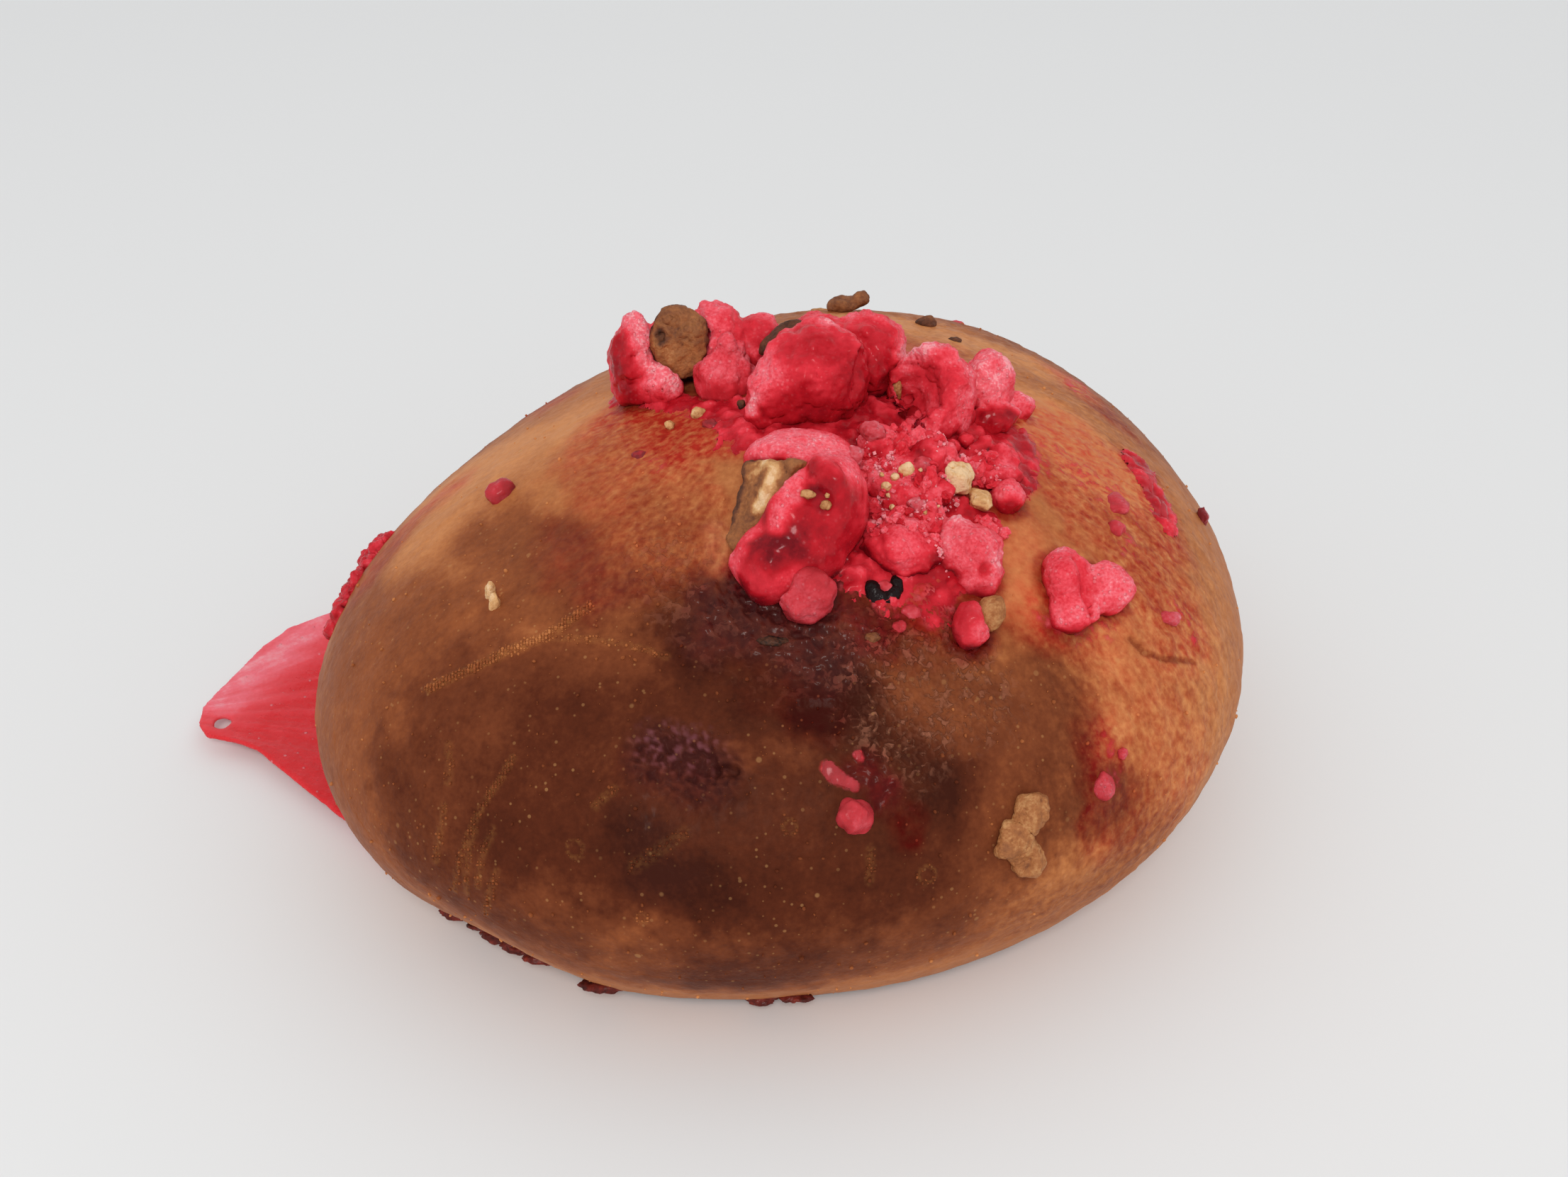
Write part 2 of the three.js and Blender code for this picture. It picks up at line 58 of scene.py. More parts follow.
# The bun: its plan is an oval with three soft corners, its side a low dome over a foot that curves in
BUN_LENGTH = 123
BUN_WIDTH = 107
BUN_TURN = math.radians(56)
BUN_HEIGHT = 53
WAIST_HEIGHT = 19
BASE_SHARE = 0.84
DOME_POWER = 1.75
CORNER_DEPTH = -0.032
CORNER_TURN = math.radians(23.5)
LEAN_X = 2
LEAN_Y = -4
BASE_CLIMB = -math.pi / 2 + 3 * math.pi / 26

# The crust's mesh: squares along a side of its six patches, how few lie under the base, and how
# many in front
BUN_STEPS = 104
BASE_CORNERS = 0.1
FRONT_CORNERS = 0.35
PROFILE_STEPS = 4000

# The finer skin in front: pixel limits, those of its middle, the spacing outside and inside that,
# how squarely the crust must face the camera, how deep the coarser crust lies below it, and how far
# its rim sinks into that
SKIN_ACROSS = (470, 1725)
SKIN_DOWN = (470, 1405)
SKIN_MIDDLE_ACROSS = (880, 1400)
SKIN_MIDDLE_DOWN = (820, 1130)
SKIN_SPACING = (4.4, 2.5)
SKIN_FACING = (0.25, 0.45)
SKIN_SINK = 0.5
SKIN_EDGE = 0.25

# Soft hollows and swellings of the crust: place, reach and rise
SWELLS = {
    "left shoulder hollow": ((-31, -22, 44), 9, -0.9),
    "hollow below the front praline": ((-4, -40, 44), 10, -1.0),
    "burst blister": ((-11, -51, 36), 4, -1.2),
    "low front swelling": ((-8, -57, 28), 14, 0.6),
    "left front swelling": ((-44, -35, 31), 13, 0.6),
    "right hollow": ((28, -38, 37), 9, -0.7),
    "flat upper left": ((-37, 3, 40), 14, -0.8),
    "dark fold": ((2, -45, 41), 5, -0.6),
    "pale pocket": ((34, -33, 37), 4, -0.6),
    "tucked left foot": ((-34, -45, 5), 10, -2.0),
    "back swelling": ((24, 40, 33), 15, 0.7),
    "back hollow": ((-20, 42, 34), 14, -0.7),
}

# Browning of the crust: pixels along each patch, reach, and the tone it takes, 0 pale to 1 burnt. The upper
# left shoulder is paler partly as painted sheen
CRUST_TONE = 0.2
BROWNING = {
    "left flank": ([(520, 880), (480, 1050), (530, 1180)], 15, 0.42),
    "left shoulder": ([(590, 770), (640, 715)], 6, 0.08),
    "left middle": ([(600, 900), (620, 1020)], 9, 0.5),
    "foot of the left flank": ([(600, 1230), (720, 1310), (900, 1370)], 6, 0.5),
    "foot in front": ([(1000, 1380), (1120, 1370)], 6, 0.76),
    "foot right of the front": ([(1240, 1350), (1380, 1310)], 6, 0.46),
    "dark front": ([(680, 1120), (820, 1150), (1000, 1200), (1230, 1190), (1330, 1080)], 15, 0.84),
    "dark left": ([(690, 1000), (800, 980)], 8, 0.68),
    "dark middle": ([(800, 1020), (900, 1010), (1000, 980)], 8, 0.8),
    "low left": ([(600, 1190), (650, 1240)], 5, 0.71),
    "left of the dark front": ([(600, 1070), (630, 1120)], 5, 0.71),
    "dark front right": ([(1320, 1070), (1370, 1130)], 5, 0.98),
    "right of the dark front": ([(1440, 1040), (1420, 1200)], 6, 0.6),
    "left shoulder hollow": ([(700, 760), (780, 800)], 6, 0.48),
    "below the hollow": ([(730, 848), (800, 850)], 5, 0.5),
    "purple patch": ([(790, 770), (830, 830)], 6, 0.54),
    "between hollow and sugar": ([(860, 880), (930, 850)], 7, 0.56),
    "left of the front praline": ([(900, 720), (950, 760)], 5, 0.36),
    "sticky skin": ([(1000, 900), (1090, 910), (1190, 960)], 7, 0.96),
    "sticky skin below": ([(1080, 990), (1180, 985), (1240, 1030)], 6, 0.92),
    "right of the sticky skin": ([(1275, 930), (1330, 990)], 6, 0.57),
    "sticky skin, right": ([(1178, 952), (1192, 972)], 4, 1.06),
    "burnt under the praline": ([(1040, 850), (1110, 870), (1180, 890)], 3, 1.0),
    "right of the nugget": ([(1185, 848), (1215, 872), (1235, 890)], 4, 0.78),
    "burst blister": ([(940, 1070), (1000, 1090)], 4, 0.95),
    "burnt below the blister": ([(900, 1180), (930, 1230), (1000, 1250)], 4, 1.0),
    "dark pool": ([(1140, 1010), (1165, 1015)], 2, 1.05),
    # Paler partly for the crust's own tone and partly as painted sheen of the satin highlight on the
    # shoulder
    "upper left shoulder": ([(640, 680), (720, 640), (800, 600)], 8, 0.03),
    "gold above the hollow": ([(800, 690), (860, 700)], 4, 0.25),
    "right shoulder": ([(1470, 590), (1560, 660)], 8, -0.08),
    "right of the pralines": ([(1440, 760), (1450, 830)], 4, 0.04),
    "right side": ([(1600, 900), (1610, 1000)], 9, 0.14),
    "right edge": ([(1700, 900), (1710, 1020), (1660, 1140)], 7, 0.13),
    "right foot": ([(1622, 1190), (1540, 1260), (1440, 1300)], 6, 0.34),
    "right orange": ([(1510, 1130), (1480, 980)], 6, 0.6),
    "right low": ([(1590, 1130), (1600, 1160)], 5, 0.36),
    "right stain": ([(1566, 1105), (1570, 1140)], 3.2, 0.58),
    "pale patch": ([(1570, 895), (1578, 940)], 2.4, 0.06),
    "crack": ([(1596, 902), (1612, 920), (1640, 930), (1684, 934)], 0.45, 0.4),
    "far rim": ([(1200, 450), (1350, 478), (1500, 535)], 6, 0.05),
}

# The same where the photograph doesn't see: plan places
BACK_BROWNING = {
    "left edge": ([(-54, 4), (-47, 16)], 14, 0.42),
    "back left": ([(-38, 30), (-30, 40)], 20, 0.46),
    "back right": ([(30, 40), (42, 28)], 20, 0.4),
    "back middle": ([(-6, 46), (10, 50)], 16, 0.54),
    "back crown": ([(-12, 30), (6, 34)], 13, 0.3),
}

# Red sugar that soaked into the crust: pixels, reach and strength
RED_BLEEDS = {
    "left of the top": ([(870, 600), (930, 630), (950, 690)], 6, 0.8),
    "below the split praline": ([(900, 580), (1000, 590)], 5, 0.85),
    "wide, left of the pralines": ([(840, 640), (900, 720), (950, 780)], 7, 0.42),
    "purple patch": ([(800, 770), (850, 820)], 5, 0.42),
    "beside the front praline": ([(960, 700), (930, 780)], 5, 0.3),
    "right of the heap": ([(1450, 640), (1560, 700)], 8, 0.52),
    "among the pralines": ([(1060, 600), (1180, 610), (1300, 700), (1400, 640), (1300, 850)], 7, 0.95),
    "right of the pralines": ([(1440, 740), (1450, 860)], 5, 0.35),
    "right strip": ([(1600, 660), (1640, 740), (1600, 800)], 5, 0.6),
    "under the side praline": ([(1480, 880), (1540, 900)], 4, 0.7),
    "right low": ([(1560, 1040), (1572, 1120), (1560, 1150)], 4, 1.0),
    "right edge": ([(1650, 840), (1680, 900)], 4, 0.4),
    "right side": ([(1600, 980), (1650, 1100)], 9, 0.3),
    "right shoulder": ([(1500, 620), (1590, 760), (1650, 860)], 9, 0.5),
    "right of the low red": ([(1600, 1150), (1560, 1180)], 4, 0.4),
    "sticky skin": ([(1040, 880), (1150, 940)], 7, 0.4),
    "dark pool": ([(1140, 1010), (1165, 1015)], 3, 0.6),
    "right of the nugget": ([(1185, 848), (1225, 880)], 4, 0.8),
    "burst blister": ([(930, 1080), (980, 1090)], 4, 0.25),
    "flake": ([(1220, 1090), (1245, 1112)], 2.6, 1.0),
    "red spot": ([(1283, 1160), (1285, 1180)], 2, 0.8),
    "left edge": ([(520, 815), (570, 748), (628, 695)], 4, 0.5),
}
BACK_BLEEDS = {
    "back of the top": ([(2, 12), (16, 10)], 7, 0.5),
    "back right": ([(36, 22), (40, 14)], 5, 0.5),
    "back left": ([(-33, 22), (-30, 16)], 4, 0.5),
}

# Melted pink sugar that coats the crust: pixels, reach and strength
SUGAR_FILM = {
    "among the pralines": ([(1075, 596), (1180, 612), (1240, 640), (1300, 720), (1255, 800)], 6, 1.0),
    "behind the heap": ([(1235, 590), (1265, 620), (1330, 610)], 6, 1.0),
    "right of the heap": ([(1400, 605), (1432, 632), (1420, 680)], 4.5, 0.85),
    "under the mid praline": ([(1330, 740), (1385, 740), (1330, 820)], 3, 0.9),
    "below the split praline": ([(880, 562), (960, 572), (1040, 584)], 2.6, 0.75),
    "left stain": ([(905, 640), (935, 660)], 2.2, 0.36),
    "beside the bead": ([(1300, 840), (1320, 870)], 3, 0.5),
    "right shoulder": ([(1500, 655), (1560, 690), (1590, 760)], 4.5, 0.4),
    "right strip": ([(1602, 655), (1630, 700), (1642, 735)], 3.0, 0.95),
    "under the side praline": ([(1468, 865), (1515, 893), (1560, 888)], 2.4, 0.4),
    "right low": ([(1562, 1045), (1570, 1100)], 2.0, 0.36),
    "smear": ([(1169, 1082), (1179, 1097), (1204, 1110)], 1.1, 0.62),
    "smear, right": ([(1209, 1066), (1213, 1072)], 0.8, 0.6),
    "right edge": ([(1655, 850), (1680, 890)], 2.4, 0.4),
}
BACK_FILM = {
    "behind the pralines": ([(-6, 4), (6, 10), (18, 8)], 4, 0.55),
    "back right": ([(36, 18), (38, 24)], 3, 0.5),
}

# Fibrous, finely wrinkled skin: pixels, reach and strength, and its strength elsewhere
FIBROUS = 0.25
FIBROUS_SKIN = {
    "right side": ([(1560, 640), (1650, 820), (1680, 980), (1620, 1130)], 15, 1.0),
    "right front": ([(1540, 960), (1560, 1100), (1480, 1260)], 8, 0.8),
    "left of the pralines": ([(900, 600), (960, 700), (930, 800)], 9, 0.7),
    "far rim": ([(1200, 450), (1400, 490), (1520, 560)], 12, 0.8),
}

# Sticky, glazed skin: pixels, reach and strength
WET_SKIN = {
    "under the front praline": ([(1030, 865), (1090, 885), (1170, 900)], 5.5, 0.9),
    "burst blister": ([(930, 1070), (1000, 1095)], 4.5, 0.05),
    "dark pool": ([(1140, 1010), (1165, 1015)], 2.0, 0.1),
    "flake": ([(1220, 1090), (1245, 1110)], 2.2, 0.6),
    "purple patch": ([(800, 780), (860, 830)], 4, 0.3),
    "beside the front praline": ([(1012, 750), (1015, 800)], 1.6, 1.0),
    "below the blister": ([(920, 1160), (930, 1230)], 4, 0.15),
    "right low": ([(1560, 1040), (1570, 1120)], 3, 0.4),
}

# Skin with tan flecks and ridges over a dark ground: pixels, reach and strength
MOTTLED_SKIN = {
    "right of the sticky skin": ([(1255, 925), (1300, 920), (1330, 945), (1275, 1020)], 7, 1.0),
    "sticky skin": ([(1040, 880), (1100, 920)], 6, 0.3),
    "under the bead": ([(1340, 960), (1390, 990)], 5, 0.7),
    "left of the front praline": ([(930, 780), (960, 840)], 5, 0.5),
}

# Golden lines where the crust stretched: pixels, half width and strength
STRETCH_LINES = {
    "granular ridge": ([(605, 972), (669, 942), (724, 917), (770, 899), (830, 857)], 0.65, 0.85),
    "second ridge": ([(780, 900), (839, 903), (894, 912), (940, 926)], 0.5, 0.4),
    "long line": ([(724, 1069), (706, 1101), (687, 1128), (669, 1160), (655, 1197), (641, 1257)], 0.4, 0.7),
    "second line": ([(672, 1162), (662, 1210), (658, 1262)], 0.45, 0.5),
    "third line": ([(696, 1170), (682, 1205), (673, 1250)], 0.45, 0.5),
    "fourth line": ([(701, 1229), (690, 1262), (685, 1290)], 0.45, 0.45),
    "left line": ([(632, 1050), (634, 1080), (632, 1105)], 0.5, 0.4),
    "lower left line": ([(627, 1137), (622, 1180), (616, 1215)], 0.5, 0.5),
    "short line": ([(866, 1114), (839, 1137)], 0.5, 0.45),
    "orange line": ([(965, 1176), (930, 1200), (895, 1222)], 0.8, 0.26),
    "right line": ([(1228, 1199), (1226, 1244)], 0.5, 0.35),
}


class Form:
    """A mesh of four-sided faces, in millimetres, that is pushed about before it becomes a piece."""

    def __init__(self, corners, faces):
        self.corners = np.asarray(corners, float)
        self.faces = np.asarray(faces, int)

    def normals(self):
        """Unit normals at the corners, from the faces round each."""
        at = self.corners[self.faces]
        across = np.cross(at[:, 2] - at[:, 0], at[:, 3] - at[:, 1])
        total = self.gathered(np.repeat(across[:, None], 4, axis=1))
        return total / (np.linalg.norm(total, axis=1, keepdims=True) + 1e-12)

    def gathered(self, values):
        """Sums at each corner the values given for each face's corners."""
        where = self.faces.ravel()
        flat = values.reshape(-1, 3)
        sums = [np.bincount(where, flat[:, k], len(self.corners)) for k in range(3)]
        return np.stack(sums, 1)

    def around(self):
        """The middle of each corner's neighbours."""
        at = self.corners[self.faces]
        pairs = np.roll(at, 1, axis=1) + np.roll(at, -1, axis=1)
        count = 2 * np.bincount(self.faces.ravel(), minlength=len(self.corners))
        return self.gathered(pairs) / count[:, None]

    def push(self, amounts):
        """Moves each corner along its normal."""
        self.corners = self.corners + self.normals() * np.broadcast_to(amounts, len(self.corners))[:, None]
        return self

    def ease(self, times, share=0.5):
        """Moves each corner toward the middle of its neighbours, that many times."""
        for _ in range(times):
            self.corners += share * (self.around() - self.corners)
        return self

    def hollowness(self, reach):
        """How far each corner lies below its surroundings, above 0 in a hollow."""
        soft = Form(self.corners.copy(), self.faces).ease(reach)
        return np.sum((soft.corners - self.corners) * self.normals(), axis=1)

    def tree(self):
        return BVHTree.FromPolygons(self.corners.tolist(), self.faces.tolist())


def compact(corners, faces):
    """A form of those faces, without the corners that none of them uses."""
    kept, faces = np.unique(faces, return_inverse=True)
    return Form(corners[kept], faces.reshape(-1, 4))


def grid_faces(shape, flipped=False):
    """The faces of a grid of corners that are numbered row by row, turned over if flipped."""
    index = np.arange(math.prod(shape)).reshape(shape)
    start, below_it, far, beside_it = index[:-1, :-1], index[1:, :-1], index[1:, 1:], index[:-1, 1:]
    order = (start, beside_it, far, below_it) if flipped else (start, below_it, far, beside_it)
    return np.stack(order, -1).reshape(-1, 4)


def joined(forms):
    """Several forms as one."""
    starts = np.cumsum([0] + [len(form.corners) for form in forms[:-1]])
    corners = np.concatenate([form.corners for form in forms])
    return Form(corners, np.concatenate([form.faces + start for form, start in zip(forms, starts)]))


def piece(name, form, look, masks, nodes=(), smooth=True):
    """Makes the form an object with masks for its look, which stands for the named nodes."""
    mesh = bpy.data.meshes.new(name)
    mesh.from_pydata((form.corners * MM).tolist(), [], form.faces.tolist())
    for key, values in masks.items():
        if np.ndim(values) == 0:
            values = np.full(len(form.corners), values)
        vector = np.ndim(values) == 2
        layer = mesh.attributes.new(key, "FLOAT_VECTOR" if vector else "FLOAT", "POINT")
        layer.data.foreach_set("vector" if vector else "value", np.asarray(values, np.float32).ravel())
    mesh.materials.append(look)
    if smooth:
        mesh.shade_smooth()
    made = bpy.data.objects.new(name, mesh)
    bpy.context.scene.collection.objects.link(made)
    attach(made, "root")
    if nodes:
        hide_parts(*nodes)


# Noise and masks

# Where a patch or a dent ends and where it is full, as shares of its reach
PATCH_EDGE = (1.35, 0.3)
DENT_EDGE = (1.4, 0.2)

# How far the noise moves from one seed to the next
SEED_SHIFT = 17.3


def rough(points, size, seed, octaves=2):
    """Soft noise with features of that size, about -1 to 1, at each point."""
    moved = points / size + SEED_SHIFT * seed
    return np.array([noise.fractal(p, 1.0, 2.0, octaves) for p in moved.tolist()])


def ridged(points, size, seed, octaves=2):
    """Noise with thin raised lines, 0 to 1."""
    return np.clip(1 - 2.2 * np.abs(rough(points, size, seed, octaves)), 0, 1)


def grains(points, size, seed):
    """Rounded grains of that size, 0 between them to about 1 on top."""
    moved = points / size + SEED_SHIFT * seed
    away = np.array([noise.voronoi(p)[0][0] for p in moved.tolist()])
    return 1 - np.clip(away, 0, 1)


def smooth_step(low, high, values):
    share = np.clip((values - low) / (high - low), 0, 1)
    return share * share * (3 - 2 * share)


def path_distance(points, places, find):
    """The distance of each point from a line through what is found at the places."""
    path = [find(place) for place in places]
    nearest = np.linalg.norm(points - path[0], axis=1)
    for start, end in zip(path[:-1], path[1:]):
        along = end - start
        share = np.clip((points - start) @ along / (along @ along + 1e-12), 0, 1)
        nearest = np.minimum(nearest, np.linalg.norm(points - start - share[:, None] * along, axis=1))
    return nearest


def points_tree(points):
    tree = KDTree(len(points))
    for i, place in enumerate(points.tolist()):
        tree.insert(place, i)
    tree.balance()
    return tree


def nearness(points, others, reach):
    """1 at the other points, falling to 0 at that reach from them."""
    tree = points_tree(others)
    return smooth_step(reach, 0, np.array([tree.find(p)[2] for p in points.tolist()]))


def painted(points, values, patches, find, ragged):
    """Moves the values to each patch's own over the patch, with a ragged edge."""
    for places, reach, target in patches.values():
        cover = smooth_step(*PATCH_EDGE, path_distance(points, places, find) / reach + ragged)
        values = values + (target - values) * cover
    return values


# The camera's sight lines

def sight_line(pixel):
    """Where the camera stands, and the direction in which it sees a pixel."""
    back = Vector((0, -math.cos(CAMERA_RISE), math.sin(CAMERA_RISE)))
    up = Vector((0, math.sin(CAMERA_RISE), math.cos(CAMERA_RISE)))
    focal = LENS / SENSOR * PHOTO_WIDTH
    across = (pixel[0] - PHOTO_WIDTH / 2) / focal
    down = (pixel[1] - PHOTO_HEIGHT / 2) / focal
    return CAMERA_TARGET + back * CAMERA_DISTANCE, Vector((across, 0, 0)) - up * down - back


def seen_on(form):
    """Finds the place of a form that shows at a pixel, or else the place nearest to that sight line."""
    tree = form.tree()
    middle = Vector(form.corners.mean(0))

    def find(pixel):
        eye, ahead = sight_line(pixel)
        place = tree.ray_cast(eye, ahead)[0]
        if place is None:
            place = tree.find_nearest(eye + ahead * ((middle - eye).dot(ahead) / ahead.length_squared))[0]
        return np.array(place)
    return find


def cast_down(tree, plan):
    """The place and the normal of a form under a plan place, or none of them."""
    return tree.ray_cast(Vector((*plan, 2 * BUN_HEIGHT)), Vector((0, 0, -1)))[:2]


def below(form):
    """Finds the place of a form under a plan place, or else the place nearest to its waist there."""
    tree = form.tree()

    def find(plan):
        place = cast_down(tree, plan)[0]
        if place is None:
            place = tree.find_nearest(Vector((*plan, WAIST_HEIGHT)))[0]
        return np.array(place)
    return find


# The bun's form

def bun_reach(turn):
    along = np.cos(turn - BUN_TURN) / (BUN_LENGTH / 2)
    across = np.sin(turn - BUN_TURN) / (BUN_WIDTH / 2)
    corners = 1 + CORNER_DEPTH * np.cos(3 * (turn - CORNER_TURN))
    return corners / np.hypot(along, across)


def bun_profile(climb):
    """The share of the bun's reach, and the height, at each climb from the base's middle to the top."""
    base = BASE_SHARE * (climb + math.pi / 2) / (BASE_CLIMB + math.pi / 2)
    foot = climb / BASE_CLIMB
    dome = np.clip(climb, 0, math.pi / 2)
    zones = [climb < BASE_CLIMB, climb < 0]
    rise = np.sin(dome) ** (2 / DOME_POWER)
    fall = np.clip(np.cos(dome), 0, 1) ** (2 / DOME_POWER)
    share = np.select(zones, [base, 1 - (1 - BASE_SHARE) * foot ** 2], fall)
    dome_height = WAIST_HEIGHT + (BUN_HEIGHT - WAIST_HEIGHT) * rise
    height = np.select(zones, [np.zeros_like(climb), WAIST_HEIGHT * (1 - foot)], dome_height)
    return share, height


def bun_skin(turn, climb, grow=0):
    """Points of the crust with its hollows and swellings, grown outward: sideways in the foot."""
    share, z = bun_profile(climb)
    reach = bun_reach(turn) * share
    lean = z / BUN_HEIGHT
    plain = np.stack([reach * np.cos(turn) + LEAN_X * lean, reach * np.sin(turn) + LEAN_Y * lean, z], -1)
    above = np.maximum(0, z - WAIST_HEIGHT)
    outward = np.stack([plain[..., 0], plain[..., 1], above], -1)
    outward /= np.linalg.norm(outward, axis=-1, keepdims=True) + 1e-9
    raised = np.zeros_like(z)
    for at, swell_reach, rise in SWELLS.values():
        raised += rise * np.exp(-(np.linalg.norm(plain - at, axis=-1) / swell_reach) ** 2)
    return plain + outward * (raised + grow)[..., None]


def quad_sphere(steps):
    """A unit sphere of six square patches with their seams welded."""
    line = np.linspace(-1, 1, steps + 1)
    u, v = np.meshgrid(line, line, indexing="ij")
    one = np.ones_like(u)
    sides = [(u, v, one), (v, u, -one), (one, u, v), (-one, v, u), (v, one, u), (u, -one, v)]
    corners = np.concatenate([np.stack(side, -1).reshape(-1, 3) for side in sides])
    patch = grid_faces(u.shape)
    faces = np.concatenate([patch + k * u.size for k in range(len(sides))])
    keys = np.round(corners * steps * 8).astype(int)
    _, first, where = np.unique(keys, axis=0, return_index=True, return_inverse=True)
    even = np.tan(corners[first] * math.pi / 4)
    return Form(even / np.linalg.norm(even, axis=1, keepdims=True), where.ravel()[faces])


def bun_form():
    """The bun with its corners spread evenly, and few of them under the base."""
    form = quad_sphere(BUN_STEPS)
    climb = np.linspace(-math.pi / 2, math.pi / 2, PROFILE_STEPS)
    share, z = bun_profile(climb)
    reach = share * BUN_LENGTH / 2
    ring = np.hypot(np.diff(reach), np.diff(z)) * (reach[1:] + reach[:-1])
    ring[z[1:] == 0] *= BASE_CORNERS
    total = np.concatenate([[0], np.cumsum(ring)])
    turn = np.arctan2(form.corners[:, 1], form.corners[:, 0])
    turn = turn - FRONT_CORNERS * np.cos(turn)
    wanted = (form.corners[:, 2] + 1) / 2 * total[-1]
    form.corners = bun_skin(turn, np.interp(wanted, total, climb))
    return form


def pixel_lines(limits, middle):
    """Pixels along one side of the finer skin's mesh."""
    wide, close = SKIN_SPACING
    sides = [(limits[0], middle[0], wide), (*middle, close), (middle[1], limits[1], wide)]
    return np.concatenate([np.arange(*side) for side in sides])


def facing_camera(form):
    """0 where a form turns away from the camera to 1 where it faces it."""
    eye, _ = sight_line((PHOTO_WIDTH / 2, PHOTO_HEIGHT / 2))
    toward = np.array(eye) - form.corners
    toward /= np.linalg.norm(toward, axis=1, keepdims=True)
    return smooth_step(*SKIN_FACING, np.sum(form.normals() * toward, axis=1))


def front_skin(crust):
    """The crust that faces the camera, as a finer mesh."""
    tree = crust.tree()
    across = pixel_lines(SKIN_ACROSS, SKIN_MIDDLE_ACROSS)
    down = pixel_lines(SKIN_DOWN, SKIN_MIDDLE_DOWN)
    x, y = np.meshgrid(across, down, indexing="ij")
    places = [tree.ray_cast(*sight_line(pixel))[0] for pixel in zip(x.ravel(), y.ravel())]
    met = np.array([place is not None for place in places])
    faces = grid_faces(x.shape, flipped=True)
    form = compact(np.array([place or (0, 0, 0) for place in places]), faces[met[faces].all(1)])
    shown = facing_camera(form)
    return compact(form.corners, form.faces[(shown[form.faces] > 0).all(1)]).ease(3)


# Materials

class Look:
    """A procedural material round one Principled shader."""

    def __init__(self, name, settings):
        self.material = bpy.data.materials.new(name)
        self.material.use_nodes = True
        self.nodes = self.material.node_tree.nodes
        self.shader = self.nodes["Principled BSDF"]
        self.place = self.node("ShaderNodeTexCoord").outputs["Object"]
        self.set(settings)

    def set(self, inputs):
        for socket, value in inputs.items():
            self.feed(self.shader.inputs[socket], value)

    def feed(self, socket, value):
        if isinstance(value, bpy.types.NodeSocket):
            self.material.node_tree.links.new(value, socket)
        else:
            socket.default_value = value

    def node(self, kind, inputs=None, **settings):
        made = self.nodes.new(kind)
        for key, value in settings.items():
            setattr(made, key, value)
        for key, value in (inputs or {}).items():
            self.feed(made.inputs[key], value)
        return made

    def mask(self, name):
        return self.node("ShaderNodeAttribute", attribute_name=name).outputs["Fac"]

    def math(self, operation, first, second):
        return self.node("ShaderNodeMath", {0: first, 1: second}, operation=operation).outputs[0]

    def plus(self, *values):
        total = values[0]
        for value in values[1:]:
            total = self.math("ADD", total, value)
        return total

    def times(self, first, second):
        return self.math("MULTIPLY", first, second)

    def between(self, low, high, value):
        """0 below the low value, 1 above the high one, soft between them."""
        inputs = {"Value": value, "From Min": low, "From Max": high}
        return self.node("ShaderNodeMapRange", inputs, interpolation_type="SMOOTHSTEP").outputs[0]

    def noise(self, size, detail=2, place=None, strength=1.0, swirl=0.0):
        """Noise about 0 with features of that size."""
        scale = 1 / (size * MM)
        inputs = {"Vector": place or self.place, "Scale": scale, "Detail": detail, "Distortion": swirl}
        texture = self.node("ShaderNodeTexNoise", inputs)
        return self.times(self.math("SUBTRACT", texture.outputs[0], 0.5), strength)

    def spots(self, spacing, radius):
        """Round spots up to twice that radius, about one to a cell of that spacing."""
        cells = self.node("ShaderNodeTexVoronoi", {"Vector": self.place, "Scale": 1 / (spacing * MM)})
        chance = self.node("ShaderNodeSeparateColor", {0: cells.outputs["Color"]}).outputs[0]
        share = 2 * radius / spacing
        inside = self.math("SUBTRACT", self.times(chance, share), cells.outputs["Distance"])
        return self.between(0, 0.4 * share, inside)

    def ramp(self, value, stops):
        node = self.node("ShaderNodeValToRGB", {0: value})
        marks = node.color_ramp.elements
        for place, _ in stops[2:]:
            marks.new(place)
        for mark, (place, colour) in zip(marks, stops):
            mark.position = place
            mark.color = (*colour, 1)
        return node.outputs[0]

    def mix(self, share, first, second, blend="MIX"):
        node = self.node("ShaderNodeMix", {0: share}, data_type="RGBA", blend_type=blend)
        for socket, colour in ((node.inputs[6], first), (node.inputs[7], second)):
            self.feed(socket, colour if isinstance(colour, bpy.types.NodeSocket) else (*colour, 1))
        return node.outputs[2]

    def bump(self, height, depth):
        inputs = {"Height": height, "Distance": depth * MM, "Strength": 1.0}
        return self.node("ShaderNodeBump", inputs).outputs[0]


CRUST_TONES = [
    (0.0, (0.63, 0.253, 0.090)),
    (0.2, (0.460, 0.161, 0.054)),
    (0.4, (0.290, 0.083, 0.028)),
    (0.6, (0.172, 0.044, 0.0165)),
    (0.8, (0.091, 0.020, 0.0085)),
    (1.0, (0.042, 0.009, 0.0050)),
]
FILM_TONES = [
    (0.0, (0.82, 0.150, 0.180)),
    (0.45, (0.66, 0.040, 0.055)),
    (1.0, (0.34, 0.010, 0.016)),
]
CRUST_SHEEN = (1.0, 0.62, 0.45, 1)
RED_TINT = (0.88, 0.14, 0.22)
FLECK = (0.56, 0.29, 0.11)
GOLD = (0.47, 0.20, 0.055)
NET_TAN = (0.31, 0.118, 0.070)
PURPLE = (0.185, 0.061, 0.080)


